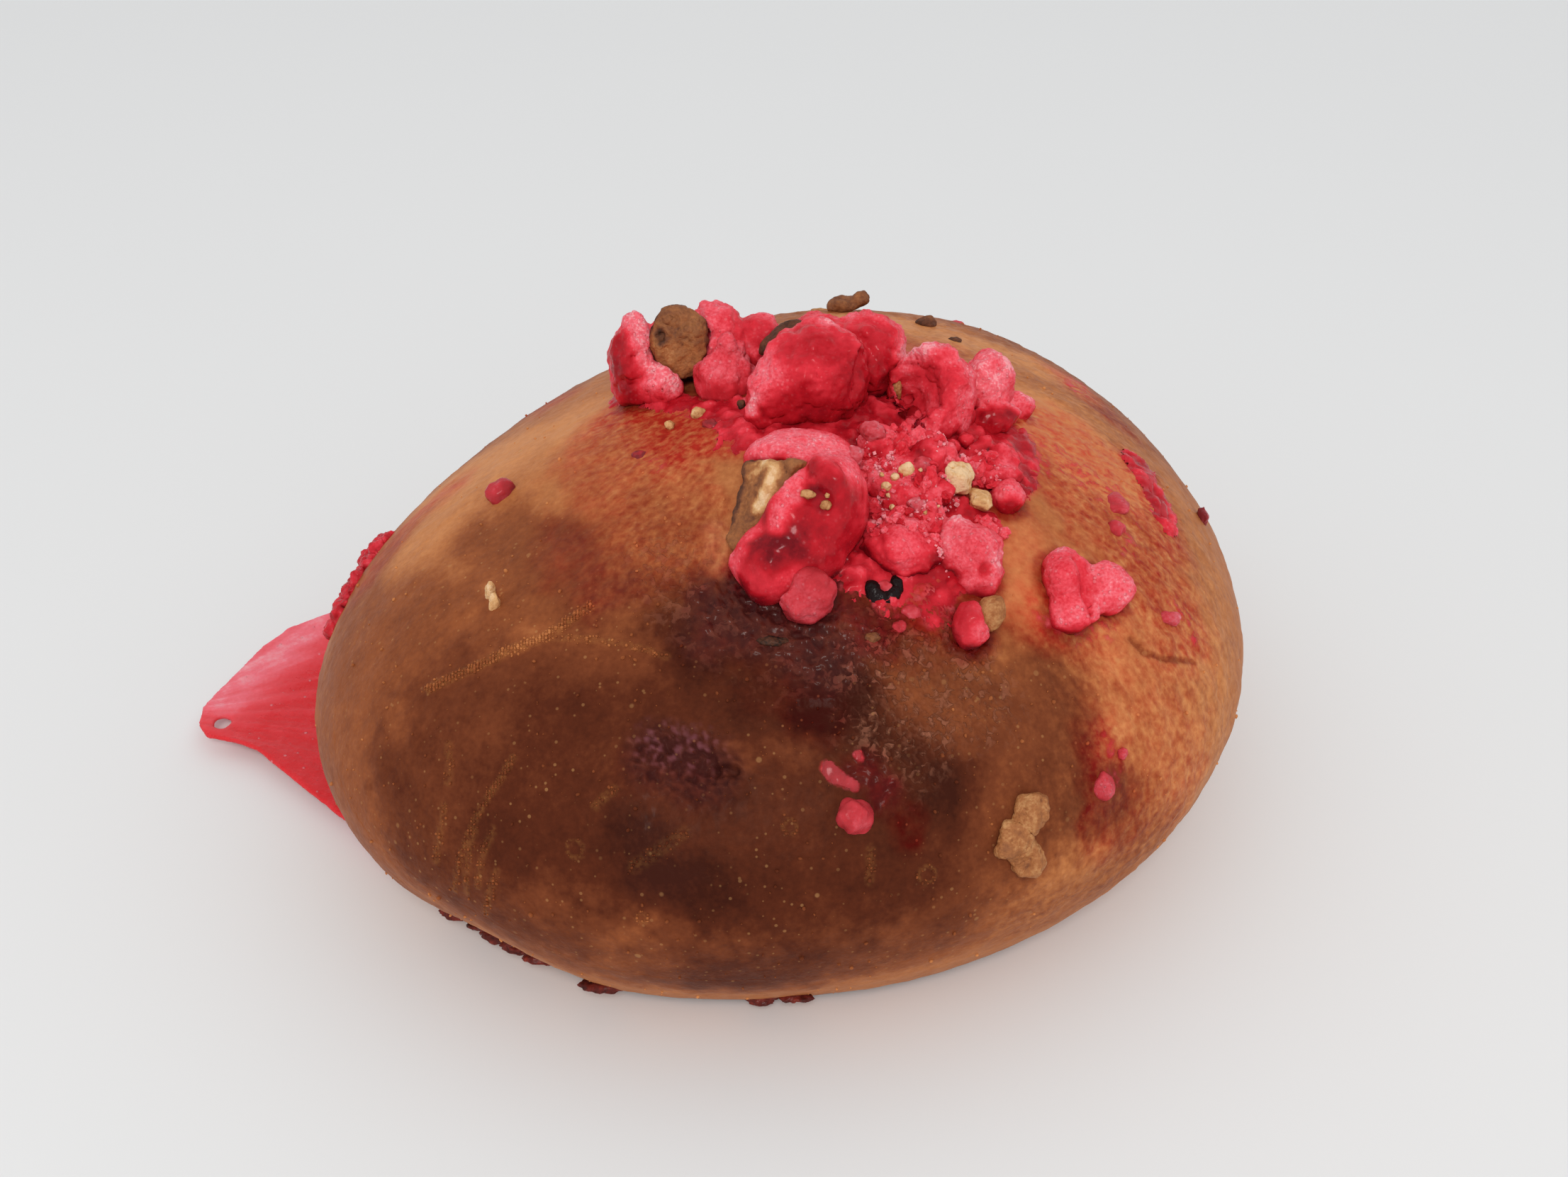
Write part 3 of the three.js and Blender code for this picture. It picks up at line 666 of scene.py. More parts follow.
def crust_look():
    look = Look("baked crust", {
        "Specular IOR Level": 0.06, "Specular Tint": CRUST_SHEEN, "Coat Roughness": 0.14,
    })
    wet = look.mask("wet")
    along = look.node("ShaderNodeAttribute", attribute_name="along").outputs["Vector"]
    fibres = look.times(look.plus(look.noise(0.9, 4, along), look.noise(0.8, 4)), look.mask("fibrous"))
    grain = look.noise(0.5, 3, strength=0.14)
    cloud = look.noise(4.0, 8, strength=0.24)
    speckle = look.noise(1.1, 3, strength=0.16)
    tone = look.plus(look.mask("tone"), cloud, speckle, grain, look.times(fibres, 0.42))
    tone = look.ramp(tone, CRUST_TONES)
    tan_flecks = look.plus(look.noise(0.9, 6, swirl=0.6), look.noise(2.4, 3, strength=0.5))
    tan_flecks = look.between(0.0, 0.15, tan_flecks)
    net = look.times(look.plus(tan_flecks, look.times(look.mask("ridges"), 0.3)), look.mask("mottled"))
    colour = look.mix(look.times(net, 0.57), tone, NET_TAN)
    fine = look.times(look.spots(0.9, 0.12), look.mask("flecked"))
    blisters = look.times(look.spots(3.2, 0.22), look.mask("flecked"))
    colour = look.mix(look.times(fine, 0.38), colour, FLECK)
    colour = look.mix(look.times(blisters, 0.44), colour, FLECK)
    broken = look.between(-0.2, 0.15, look.noise(0.45, 3))
    gold = look.times(look.mask("gold"), broken)
    colour = look.mix(look.times(gold, 0.38), colour, GOLD)
    veins = look.plus(look.noise(1.6, 4, strength=1.6), look.times(fibres, 2.0))
    red = look.plus(look.mask("red"), look.times(look.mask("red"), veins))
    red = look.math("MINIMUM", look.math("MAXIMUM", red, 0.0), 1.0)
    colour = look.mix(red, colour, look.mix(1.0, colour, RED_TINT, "MULTIPLY"))
    colour = look.mix(look.mask("purple"), colour, PURPLE)
    film = look.between(0.32, 0.72, look.plus(look.mask("film"), look.times(look.mask("film"), veins)))
    thick = look.ramp(look.plus(0.45, look.noise(1.3, 4, strength=1.5)), FILM_TONES)
    colour = look.mix(look.times(film, 0.75), colour, thick)
    wrinkles = look.times(look.noise(0.6, 4, strength=1.7), wet)
    height = look.plus(look.noise(0.45, 3, strength=0.8), wrinkles, look.times(blisters, 0.5), gold,
                       look.times(fibres, 2.0), look.times(film, 1.5), look.times(net, 2.5))
    look.set({
        "Base Color": colour,
        "Roughness": look.plus(0.46, look.noise(1.2, 2, strength=0.25), look.times(wet, -0.14)),
        "Coat Weight": look.plus(look.times(wet, 0.13), look.times(film, 0.05)),
        "Normal": look.bump(height, 0.07),
    })
    return look.material


SUGAR_TONES = [
    (0.0, (0.92, 0.34, 0.37)),
    (0.07, (0.88, 0.190, 0.230)),
    (0.28, (0.83, 0.095, 0.125)),
    (0.5, (0.70, 0.034, 0.052)),
    (0.75, (0.45, 0.009, 0.017)),
    (1.0, (0.15, 0.003, 0.007)),
]
SUGAR_SHEEN = (1.0, 0.5, 0.53, 1)
DULL_AND_SHADED_SUGAR = (0.26, 0.050, 0.052)
CRYSTAL = (0.93, 0.42, 0.46)


def sugar_look():
    look = Look("cooked sugar", {
        "Subsurface Weight": 0.25, "Subsurface Radius": (1.0, 0.25, 0.3), "Subsurface Scale": 0.8 * MM,
        "Specular IOR Level": 0.07, "Specular Tint": SUGAR_SHEEN, "Coat Roughness": 0.14,
    })
    melt_and_shade = look.mask("melt_and_shade")
    frosted = look.between(0.65, 0.2, melt_and_shade)
    cloud = look.noise(1.6, 3, strength=0.4)
    grain = look.times(look.noise(0.35, 2, strength=0.6), look.plus(frosted, 0.2))
    colour = look.ramp(look.plus(melt_and_shade, cloud, grain), SUGAR_TONES)
    crystals = look.times(look.spots(0.55, 0.12), look.plus(frosted, 0.12))
    colour = look.mix(look.times(crystals, 0.28), colour, CRYSTAL)
    # Dull, greyed sugar: partly a skin over it, partly painted shade
    colour = look.mix(look.mask("dull_and_shade"), colour, DULL_AND_SHADED_SUGAR)
    height = look.plus(look.noise(0.4, 3, strength=1.6), look.times(crystals, 0.8))
    height = look.times(height, look.plus(frosted, 0.1))
    look.set({
        "Base Color": colour,
        "Roughness": look.plus(0.24, look.times(frosted, 0.36), look.noise(0.8, 2, strength=0.2)),
        "Coat Weight": look.times(look.between(0.45, 0.85, melt_and_shade), 0.18),
        "Normal": look.bump(height, 0.1),
    })
    return look.material


ALMOND_TONES = [
    (0.0, (0.014, 0.008, 0.006)),
    (0.3, (0.15, 0.048, 0.021)),
    (0.6, (0.37, 0.135, 0.044)),
    (0.85, (0.66, 0.36, 0.150)),
    (1.0, (0.80, 0.54, 0.31)),
]


def almond_look():
    look = Look("roasted almond", {"Specular IOR Level": 0.2})
    tone = look.plus(look.mask("tan"), look.noise(1.3, 3, strength=0.4), look.noise(0.35, 3, strength=0.35))
    height = look.plus(look.noise(0.5, 4, strength=1.6), look.noise(0.2, 2, strength=0.5))
    look.set({
        "Base Color": look.ramp(tone, ALMOND_TONES),
        "Roughness": look.plus(0.6, look.noise(0.9, 2, strength=0.3)),
        "Normal": look.bump(height, 0.14),
    })
    return look.material


SHEET_TONES = [
    (0.0, (0.74, 0.034, 0.042)),
    (0.45, (0.86, 0.085, 0.105)),
    (0.8, (0.97, 0.20, 0.25)),
    (1.0, (0.98, 0.42, 0.47)),
]
SHEET_BUBBLE = (0.96, 0.45, 0.5)


def sheet_look():
    look = Look("set sugar", {
        "Transmission Weight": 0.12, "IOR": 1.35, "Specular IOR Level": 0.12,
        "Subsurface Weight": 0.4, "Subsurface Radius": (1.0, 0.2, 0.25), "Subsurface Scale": 1.5 * MM,
    })
    pale = look.plus(look.mask("pale"), look.noise(2.5, 3, strength=0.4), look.noise(0.5, 3, strength=0.25))
    bubbles = look.spots(1.4, 0.14)
    look.set({
        "Base Color": look.mix(look.times(bubbles, 0.4), look.ramp(pale, SHEET_TONES), SHEET_BUBBLE),
        "Roughness": look.plus(0.26, look.times(look.mask("pale"), 0.25), look.noise(0.9, 2, strength=0.2)),
        "Normal": look.bump(look.plus(look.noise(0.7, 3), bubbles), 0.12),
    })
    return look.material


BURNT_TONES = [
    (0.0, (0.010, 0.004, 0.004)),
    (0.5, (0.13, 0.018, 0.013)),
    (1.0, (0.34, 0.050, 0.030)),
]


def burnt_look():
    look = Look("burnt sugar", {"Specular IOR Level": 0.14})
    tone = look.plus(look.mask("pale"), look.noise(1.2, 3, strength=1.6))
    look.set({
        "Base Color": look.ramp(tone, BURNT_TONES),
        "Roughness": look.plus(0.24, look.noise(0.7, 2, strength=0.3)),
        "Normal": look.bump(look.noise(0.5, 3), 0.15),
    })
    return look.material


FLOOR_TONES = [(0, (0.79, 0.79, 0.79)), (1, (0.81, 0.81, 0.81))]


def floor_look():
    look = Look("pale floor", {"Specular IOR Level": 0.2})
    shade = look.ramp(look.plus(0.5, look.noise(60, 2, strength=0.4)), FLOOR_TONES)
    look.set({"Base Color": shade, "Roughness": look.plus(0.85, look.noise(3, 2, strength=0.05))})
    return look.material


# Solids as even meshes

WELD = 0.001


def node_form(name, step):
    """A CAD node's solid as an even mesh of squares of that size."""
    shape = bmesh.new()
    shape.from_mesh(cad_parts[name].data)
    bmesh.ops.remove_doubles(shape, verts=shape.verts, dist=WELD * MM)
    mesh = bpy.data.meshes.new("copy")
    shape.to_mesh(mesh)
    shape.free()
    copy = bpy.data.objects.new("copy", mesh)
    bpy.context.scene.collection.objects.link(copy)
    even = copy.modifiers.new("even", "REMESH")
    even.mode = "VOXEL"
    even.voxel_size = step * MM
    shown = copy.evaluated_get(bpy.context.evaluated_depsgraph_get()).to_mesh()
    corners = np.zeros(len(shown.vertices) * 3)
    shown.vertices.foreach_get("co", corners)
    faces = np.zeros(len(shown.polygons) * 4, int)
    shown.polygons.foreach_get("vertices", faces)
    bpy.data.objects.remove(copy)
    bpy.data.meshes.remove(mesh)
    return Form(corners.reshape(-1, 3) / MM, faces.reshape(-1, 4))


def lump(centre, size, seed, steps, unevenness, turn=None):
    """An uneven ball about a centre, with its radii and a turn."""
    form = quad_sphere(steps)
    swell = 1 + unevenness * rough(form.corners, 0.8, seed, 3)
    spun = form.corners * swell[:, None] * np.asarray(size)
    if turn is not None:
        spun = spun @ turn.T
    form.corners = spun + centre
    return form


def random_turn(draw):
    """A turn in any direction, as a matrix."""
    matrix, _ = np.linalg.qr(draw.normal(size=(3, 3)))
    return matrix * np.sign(np.linalg.det(matrix))


# The crust

# Flat blisters: pixel and radius of each, and how golden their rims are
RING_BLISTERS = [((811, 1199), 0.9), ((1308, 1235), 0.9), ((1114, 1167), 0.7), ((905, 1296), 0.6)]
RING_GOLD = 0.5

# Sizes of the notches in ragged edges, how flecked the crust is, how far its fibres are drawn out down
# the slope, and the tone of the base
RAGGED_SIZES = (5.0, 1.6)
FLECKED = 0.55
FIBRE_PULL = 0.75
BASE_TONE = 0.62

# What is painted on the crust: its strength elsewhere, how ragged it ends, and patches in front and behind
PAINTED = {
    "red": (0.0, 1.6, RED_BLEEDS, BACK_BLEEDS),
    "film": (0.0, 1.4, SUGAR_FILM, BACK_FILM),
    "fibrous": (FIBROUS, 1.0, FIBROUS_SKIN, {}),
    "wet": (0.0, 1.4, WET_SKIN, {}),
    "mottled": (0.0, 1.0, MOTTLED_SKIN, {}),
    "gold": (0.0, 1.0, STRETCH_LINES, {}),
}

# Patterns of the crust: size of a feature, seed, and octaves where they are more than two
WAVES = (11.0, 4)
RIPPLES = (3.2, 5)
WRINKLES = (1.9, 6)
FINE_WRINKLES = (0.9, 16)
BURST_GRAINS = (0.9, 7)
BURST_CRUMBS = (0.6, 18)
BURST_LUMPS = (2.4, 17)
PEEL = (1.2, 21, 3)
RIM_FOLDS = (1.8, 8)
MOTTLES = (1.0, 9, 3)
STRETCH_GRAINS = (1.0, 10)
FIBRES = (2.0, 12, 3)
CROSS_FIBRES = (1.6, 14, 3)
FILM_LUMPS = (1.5, 13, 3)
CRACK_WANDER = (1.0, 28)
RIDGES = (0.9, 19, 3)
BACK_CLOUDS = (14.0, 25)
FLECK_CLOUDS = (9.0, 3)

# Single marks of the crust by their pixels: the burst blister with its purple top, where the purple on the
# crumbs is partly painted glints, slit and lip, the dark pool, and thin cracks on the right
BURST = [(930, 1070), (1000, 1090)]
BURST_REACH = (5.0, 2.0)
BURST_TOP = [(925, 1050), (995, 1062)]
BURST_TOP_REACH = (3.4, 1.0)
SLIT = [(1007, 1090), (1035, 1088)]
SLIT_DEPTH = 0.9
LIP = [(970, 1108), (1010, 1114), (1045, 1106)]
LIP_RISE = 0.35
POOL = [(1135, 1012), (1170, 1012)]
POOL_DEPTH = 0.4
CRACK = [(1596, 902), (1612, 922), (1640, 930), (1684, 934)]
LOW_CRACK = [(1604, 975), (1598, 1010), (1606, 1040)]
CRACK_DEPTH = 0.22

# The red, wet crust close to the pralines: its reach, strength and added browning
HALO_REACH = 2.6
HALO = 0.8
HALO_TONE = 0.2


def ragged_edge(points, share=1.0):
    """What makes the edges of stains and films on the crust uneven."""
    return share * (0.22 * rough(points, RAGGED_SIZES[0], 1) + 0.12 * rough(points, RAGGED_SIZES[1], 2))


def crust_masks(points, seen, under, sugar_points):
    """What covers each place of the crust, from the photograph in front and in the same way behind."""
    ragged = ragged_edge(points)
    plain = np.zeros(len(points))
    clouds = ragged + 0.35 * rough(points, *BACK_CLOUDS)
    tone = painted(points, plain + CRUST_TONE, BACK_BROWNING, under, clouds)
    tone = painted(points, tone, BROWNING, seen, ragged)
    masks = {}
    for name, (elsewhere, share, patches, behind) in PAINTED.items():
        values = painted(points, plain + elsewhere, patches, seen, share * ragged)
        masks[name] = painted(points, values, behind, under, share * ragged)
    masks["gold"] = np.maximum(masks["gold"], RING_GOLD * rings(points, seen))

    burst = burst_share(points, seen)
    crumbs = grains(points, *BURST_GRAINS) + 0.4 * rough(points, *BURST_CRUMBS)
    # In the burst blister the crumbs' tops are paler and the gaps between them darker, as painted light and
    # shade; the ridges of the sticky skin's wrinkles are paler
    tone = tone + 0.3 * burst * (0.5 - crumbs) - 0.16 * masks["wet"] * ridged(points, *WRINKLES)
    upper = smooth_step(*BURST_TOP_REACH, path_distance(points, BURST_TOP, seen))
    # Purple: a faint tint over the sticky skin and the blister, and on the crumbs' tops in its upper part
    # purple that is partly painted glints
    masks["purple"] = 0.06 * masks["wet"] + 0.06 * burst + 0.5 * upper * smooth_step(0.45, 0.95, crumbs)

    halo = nearness(points, sugar_points, HALO_REACH)
    for name in ("red", "wet"):
        masks[name] = np.maximum(masks[name], HALO * halo)
    tone = tone + HALO_TONE * smooth_step(0.3, 0.9, halo)
    masks["tone"] = tone + (BASE_TONE - tone) * smooth_step(1.5, 0.2, points[:, 2])
    masks["flecked"] = np.clip(FLECKED + 0.5 * rough(points, *FLECK_CLOUDS), 0, 1) * (1 - masks["wet"])

    turn = np.arctan2(points[:, 1], points[:, 0])
    slope = np.stack([np.cos(turn), np.sin(turn), -np.ones_like(turn)], 1) / math.sqrt(2)
    masks["along"] = (points - FIBRE_PULL * np.sum(points * slope, axis=1)[:, None] * slope) * MM
    lines = ridged(0.5 * masks["along"] / MM + 0.5 * points, *RIDGES)
    masks["ridges"] = masks["mottled"] * smooth_step(0.5, 0.95, lines)
    return masks


def burst_share(points, seen):
    """1 in the burst blister, falling to 0 round it."""
    return smooth_step(*BURST_REACH, path_distance(points, BURST, seen))


def rings(points, seen):
    """1 on the rims of the flat blisters."""
    rim = np.zeros(len(points))
    for pixel, radius in RING_BLISTERS:
        away = np.linalg.norm(points - seen(pixel), axis=1)
        rim = np.maximum(rim, smooth_step(0.3, 0.05, np.abs(away - radius)))
    return rim


def crust_relief(points, masks, seen):
    """Rise of the crust at each place: soft waves, wrinkles, the burst blister and stretched ridges."""
    def along(pixels):
        return path_distance(points, pixels, seen)

    low = 0.16 * rough(points, *WAVES) + 0.07 * rough(points, *RIPPLES)
    wrinkles = 0.26 * ridged(points, *WRINKLES) + 0.16 * ridged(points, *FINE_WRINKLES) - 0.15
    crumbs = 0.5 * grains(points, *BURST_GRAINS) + 0.3 * rough(points, *BURST_CRUMBS)
    crumbs = crumbs + 0.5 * rough(points, *BURST_LUMPS)
    slit = SLIT_DEPTH * smooth_step(0.9, 0.2, along(SLIT))
    lip = LIP_RISE * smooth_step(0.7, 0.1, along(LIP))
    pool = POOL_DEPTH * smooth_step(2.4, 0.8, along(POOL))
    crack = smooth_step(0.4, 0.1, along(CRACK) + 0.2 * rough(points, *CRACK_WANDER))
    crack = CRACK_DEPTH * np.maximum(crack, 0.7 * smooth_step(0.45, 0.1, along(LOW_CRACK)))

    rim = smooth_step(18, 30, points[:, 1]) * smooth_step(30, 40, points[:, 2])
    folds = rim * 0.18 * ridged(points * [0.3, 1, 1], *RIM_FOLDS)
    mottles = 0.16 * masks["mottled"] * rough(points, *MOTTLES) + 0.2 * masks["ridges"]
    stretch = 0.14 * masks["gold"] * (0.6 + 0.8 * rough(points, *STRETCH_GRAINS))
    fibres = rough(masks["along"] / MM, *FIBRES) + rough(points, *CROSS_FIBRES)
    film = smooth_step(0.3, 0.8, masks["film"]) * (0.12 + 0.25 * rough(points, *FILM_LUMPS))
    fine = 0.05 * rough(points, *PEEL) + masks["wet"] * wrinkles + folds + mottles + stretch
    fine = fine + 0.17 * masks["fibrous"] * fibres + film
    free = smooth_step(0.0, 2.0, points[:, 2])
    return free * (low + fine + burst_share(points, seen) * crumbs - slit + lip - pool - crack)


# Pralines

SUGAR_STEP = 0.26
SUGAR_EASE = 75
SUGAR_SWELL = 0.15
SUGAR_GRAIN = 0.16
CONTACT = 0.6

# Corners in a broken facet of a praline and of the crumbled heap, and rise and size of their lumps
SUGAR_FACET = 80
SUGAR_LUMPS = (0.4, 3.2)
SUGAR_CRAGS = (0.3, 1.3)
CRUMBLE_FACET = 30
CRUMBLE_LUMPS = (0.9, 2.2)
CRUMBLE_CRAGS = (0.2, 0.8)
CRUMBLE_SINK = 0.3

# Where the sugar is frosted or melted: pixels, reach, and 0 for pale frost to 1 for dark glaze. The shell's
# wall and inside are painted paler against their shade, as painted light, and the front praline's face and
# dark cheek darker as painted shade
SUGAR_SPOTS = {
    "split, left foot": ([(866, 480), (872, 520), (882, 552)], 2.6, 0.82),
    "split, left top": ([(880, 448), (905, 470), (912, 500), (930, 530), (950, 545)], 1.5, 0.1),
    "split, middle lobe": ([(1000, 440), (1015, 460), (1000, 480)], 2.4, 0.3),
    "split, right lobe": ([(1050, 462), (1075, 470), (1090, 500)], 3.0, 0.56),
    "wedge": ([(1022, 484), (1012, 510), (1030, 515)], 2.4, 0.34),
    "wedge, foot": ([(1005, 555), (1045, 558)], 1.6, 0.62),
    "back, left": ([(1072, 515), (1092, 540)], 3.0, 0.22),
    "back, middle": ([(1130, 490), (1180, 495), (1200, 520)], 3.2, 0.7),
    "back, low": ([(1125, 574), (1170, 580), (1205, 560)], 3.4, 0.79),
    "back, dark lip": ([(1215, 480), (1250, 490)], 2.8, 0.7),
    "back, right": ([(1210, 530), (1240, 530)], 2.6, 0.78),
    "back, frosted foot": ([(1052, 565), (1060, 575)], 1.2, 0.05),
    # Painted light: paler against the shade on the shell's wall and inside
    "shell, wall": ([(1278, 500), (1300, 488)], 2.4, -0.02),
    "shell, inside": ([(1310, 530), (1340, 545)], 2.6, 0.55),
    "shell, bead": ([(1310, 577)], 1.5, 0.55),
    "shell, right rim": ([(1358, 560), (1362, 610)], 1.4, 0.3),
    "far": ([(1375, 520), (1395, 545)], 2.6, 0.12),
    "far, foot": ([(1390, 590), (1425, 590)], 1.8, 0.85),
    "front, top": ([(1075, 624), (1112, 618), (1160, 628)], 3.0, 0.17),
    "front, right rim": ([(1188, 640), (1200, 680), (1205, 715)], 1.7, 0.22),
    # Painted shade: the front praline's face and cheek are darker
    "front, face": ([(1085, 765), (1130, 785), (1165, 765), (1125, 735)], 4.0, 0.8),
    "front, dark cheek": ([(1078, 755), (1105, 770)], 3.2, 0.95),
    "front, low right": ([(1170, 775), (1200, 710), (1195, 750)], 2.6, 0.76),
    "front, bean": ([(1150, 660), (1180, 680)], 1.4, 0.85),
    "front, dent": ([(1125, 690), (1160, 705)], 1.2, 0.92),
    "front, left edge": ([(1044, 778), (1038, 815), (1066, 748)], 1.3, 0.4),
    "front, band": ([(1128, 640), (1120, 670), (1112, 705), (1098, 738)], 1.5, 0.24),
    "nugget": ([(1120, 825), (1125, 845)], 2.2, 0.42),
    "nugget, right": ([(1160, 815)], 1.6, 0.55),
    "mid": ([(1360, 765), (1370, 790)], 2.4, 0.3),
    "mid, pocket": ([(1390, 805)], 1.0, 0.8),
    "bead": ([(1355, 860), (1365, 875)], 2.0, 0.66),
    "bead, low": ([(1385, 895)], 1.4, 0.3),
    "side, left": ([(1488, 800), (1500, 845)], 2.4, 0.38),
    "side, right": ([(1570, 810), (1580, 840)], 2.4, 0.2),
    "side, middle": ([(1530, 800), (1540, 865)], 0.8, 0.5),
    "lump in the heap": ([(1280, 775)], 3.0, 0.36),
    "heap, left": ([(1245, 690), (1255, 712)], 1.6, 0.4),
}

# Dents and cracks of the sugar: pixels, reach and rise
SUGAR_DENTS = {
    "front, crease": ([(1110, 735), (1140, 790), (1150, 815)], 2.2, 0.7),
    "front, dent": ([(1128, 692), (1165, 708)], 1.1, -0.6),
    "front, bean": ([(1152, 656), (1180, 674)], 1.2, 0.7),
    "back, crease": ([(1215, 500), (1205, 560)], 1.0, -0.7),
    "back, lip": ([(1225, 470), (1255, 480)], 1.0, 0.5),
    "side, crease": ([(1522, 790), (1545, 870)], 0.9, -0.9),
    "side, left lobe": ([(1498, 820)], 2.2, 0.8),
    "side, right tip": ([(1592, 832)], 1.6, 0.6),
    "wedge, peak": ([(1026, 482)], 1.3, 0.8),
    "split, cleft": ([(985, 468), (1040, 478)], 0.9, -0.6),
    "shell, broken wall": ([(1285, 590), (1270, 565)], 2.6, -2.0),
    "mid, pocket": ([(1390, 805)], 0.8, -0.7),
    "nugget, facet": ([(1115, 830)], 1.8, -0.3),
}

# How far each is melted, and how rough it broke
PRALINES = {
    "praline_split": (0.42, 1.0), "praline_wedge": (0.3, 1.0), "praline_back": (0.62, 1.0),
    "praline_shell": (0.5, 0.9), "praline_far": (0.35, 1.0), "praline_front": (0.66, 0.35),
    "praline_nugget": (0.4, 0.75), "praline_mid": (0.38, 0.9), "praline_bead": (0.7, 0.55),
    "praline_side": (0.5, 0.65), "praline_small": (0.6, 0.7), "praline_crumble": (0.62, 1.0),
}
# How dull each praline is, partly painted shade; the nugget's dullness is painted shade
DULL_AND_SHADED_PRALINES = {"praline_nugget": 0.35, "praline_wedge": 0.1, "praline_mid": 0.08, "praline_bead": 0.1}
FACET_SHARE = 0.75


def chipped(form, cells, seed, share=FACET_SHARE):
    """Flattens a form in cells of that many corners round random places, as sugar and nuts break."""
    draw = np.random.default_rng(seed)
    count = len(form.corners) // cells
    tree = points_tree(draw.choice(form.corners, count, replace=False))
    cell = np.array([tree.find(p)[1] for p in form.corners.tolist()])
    weight = 1 / np.maximum(np.bincount(cell, minlength=count), 1)
    middle, flat = [
        np.stack([np.bincount(cell, values[:, k], count) * weight for k in range(3)], 1)
        for values in (form.corners, form.normals())
    ]
    flat /= np.linalg.norm(flat, axis=1, keepdims=True) + 1e-9
    offset = np.sum((middle[cell] - form.corners) * flat[cell], axis=1)
    form.corners += share * offset[:, None] * flat[cell]
    return form.ease(2)


def seated(form, crust_tree):
    """Moves the underside of a form down to the crust that it is stuck to."""
    under = [crust_tree.find_nearest(p)[1] for p in form.corners.tolist()]
    facing = np.sum(form.normals() * np.array(under), axis=1)
    form.corners = form.corners - CONTACT * smooth_step(0.0, -0.6, facing)[:, None] * np.array(under)
    return form


def sugar_form(name, seed, crust_tree):
    """A praline with the facets of its solid eased into broken, partly melted sugar."""
    roughness = PRALINES[name][1]
    form = node_form(name, SUGAR_STEP).ease(round(6 + SUGAR_EASE * (1 - roughness)))
    if name == "praline_crumble":
        rise, size = CRUMBLE_LUMPS
        form.push(rise * grains(form.corners, size, seed) - CRUMBLE_SINK)
        chipped(form, CRUMBLE_FACET, 500 + seed)
        rise, size = CRUMBLE_CRAGS
        return seated(form.push(rise * rough(form.corners, size, seed + 20)), crust_tree)
    rise, size = SUGAR_LUMPS
    form.push(SUGAR_SWELL + rise * roughness * rough(form.corners, size, seed))
    chipped(form, SUGAR_FACET, 500 + seed, FACET_SHARE * roughness)
    rise, size = SUGAR_CRAGS
    return seated(form.push(rise * roughness * rough(form.corners, size, seed + 20, 3)), crust_tree)


def sugar_melt_and_shade(form, name, find, seed, crust_tree):
    """How far a praline is melted at each corner, with painted shade: more at its foot, darker in its
    hollows as painted shade, and paler on top and darker underneath, partly frost and partly painted light
    and shade.
    """
    points = form.corners
    above = np.array([crust_tree.find_nearest(p)[3] for p in points.tolist()])
    melt_and_shade = PRALINES[name][0] + 0.4 * rough(points, 3.5, seed + 40)
    melt_and_shade = melt_and_shade + 0.25 * smooth_step(2.4, 0.4, above)
    # Painted shade: darker in the hollows. Up-facing sugar is paler, partly frost and partly painted light;
    # down-facing sugar is darker as painted shade.
    melt_and_shade = melt_and_shade + 0.5 * smooth_step(0.05, 0.35, form.hollowness(14)) - 0.24 * form.normals()[:, 2]
    ragged = 0.25 * rough(points, 1.8, seed + 80)
    return np.clip(painted(points, melt_and_shade, SUGAR_SPOTS, find, ragged), 0, 1.05)


def dented(form, dents, find):
    """Raises and sinks a form along the pixels of its dents."""
    for pixels, reach, rise in dents.values():
        form.push(rise * smooth_step(*DENT_EDGE, path_distance(form.corners, pixels, find) / reach))


# Melted sugar between the pralines

# Its mesh within plan limits, its depth, the least share of that, how far its rim sinks in, and how
# dull the smear in front is, a dullness that is partly painted shade, from where to where on Y
GLAZE_STEP = 0.28
GLAZE_X = (-24, 50)
GLAZE_Y = (-58, 18)
GLAZE_DEPTH = 0.95
GLAZE_LEAST = 0.3
GLAZE_SINK = 0.12
SMEAR_DULL_AND_SHADE = 0.6
SMEAR_REGION = (-38, -42)


def glaze(crust, seen):
    """An uneven layer of melted sugar that thins out into the crust, and how far it is melted."""
    tree = crust.tree()
    x, y = np.meshgrid(np.arange(*GLAZE_X, GLAZE_STEP), np.arange(*GLAZE_Y, GLAZE_STEP), indexing="ij")
    rays = [cast_down(tree, plan) for plan in zip(x.ravel(), y.ravel())]
    missed = np.array([ray[0] is None for ray in rays])
    points = np.array([ray[0] or (0, 0, 0) for ray in rays])
    normals = np.array([ray[1] or (0, 0, 1) for ray in rays])
    ragged = ragged_edge(points, 1.4) + 0.25 * rough(points, 0.9, 65)
    cover = smooth_step(0.3, 0.85, painted(points, np.zeros(len(points)), SUGAR_FILM, seen, ragged))
    cover[missed] = 0
    faces = grid_faces(x.shape)
    faces = faces[(cover[faces] > 0.01).all(1)]
    kept, faces = np.unique(faces, return_inverse=True)
    points, cover = points[kept], cover[kept]
    lumps = 0.5 * grains(points, 1.8, 61) + 0.35 * rough(points, 2.8, 62) + 0.14 * rough(points, 0.9, 63)
    thick = GLAZE_DEPTH * cover * (GLAZE_LEAST + lumps) - GLAZE_SINK
    form = Form(points + normals[kept] * thick[:, None], faces.reshape(-1, 4))
    return form, np.clip(0.66 - 0.8 * (lumps - 0.28) + 0.2 * rough(points, 4.0, 64), 0, 0.8)


# Almonds

ALMOND_STEP = 0.2

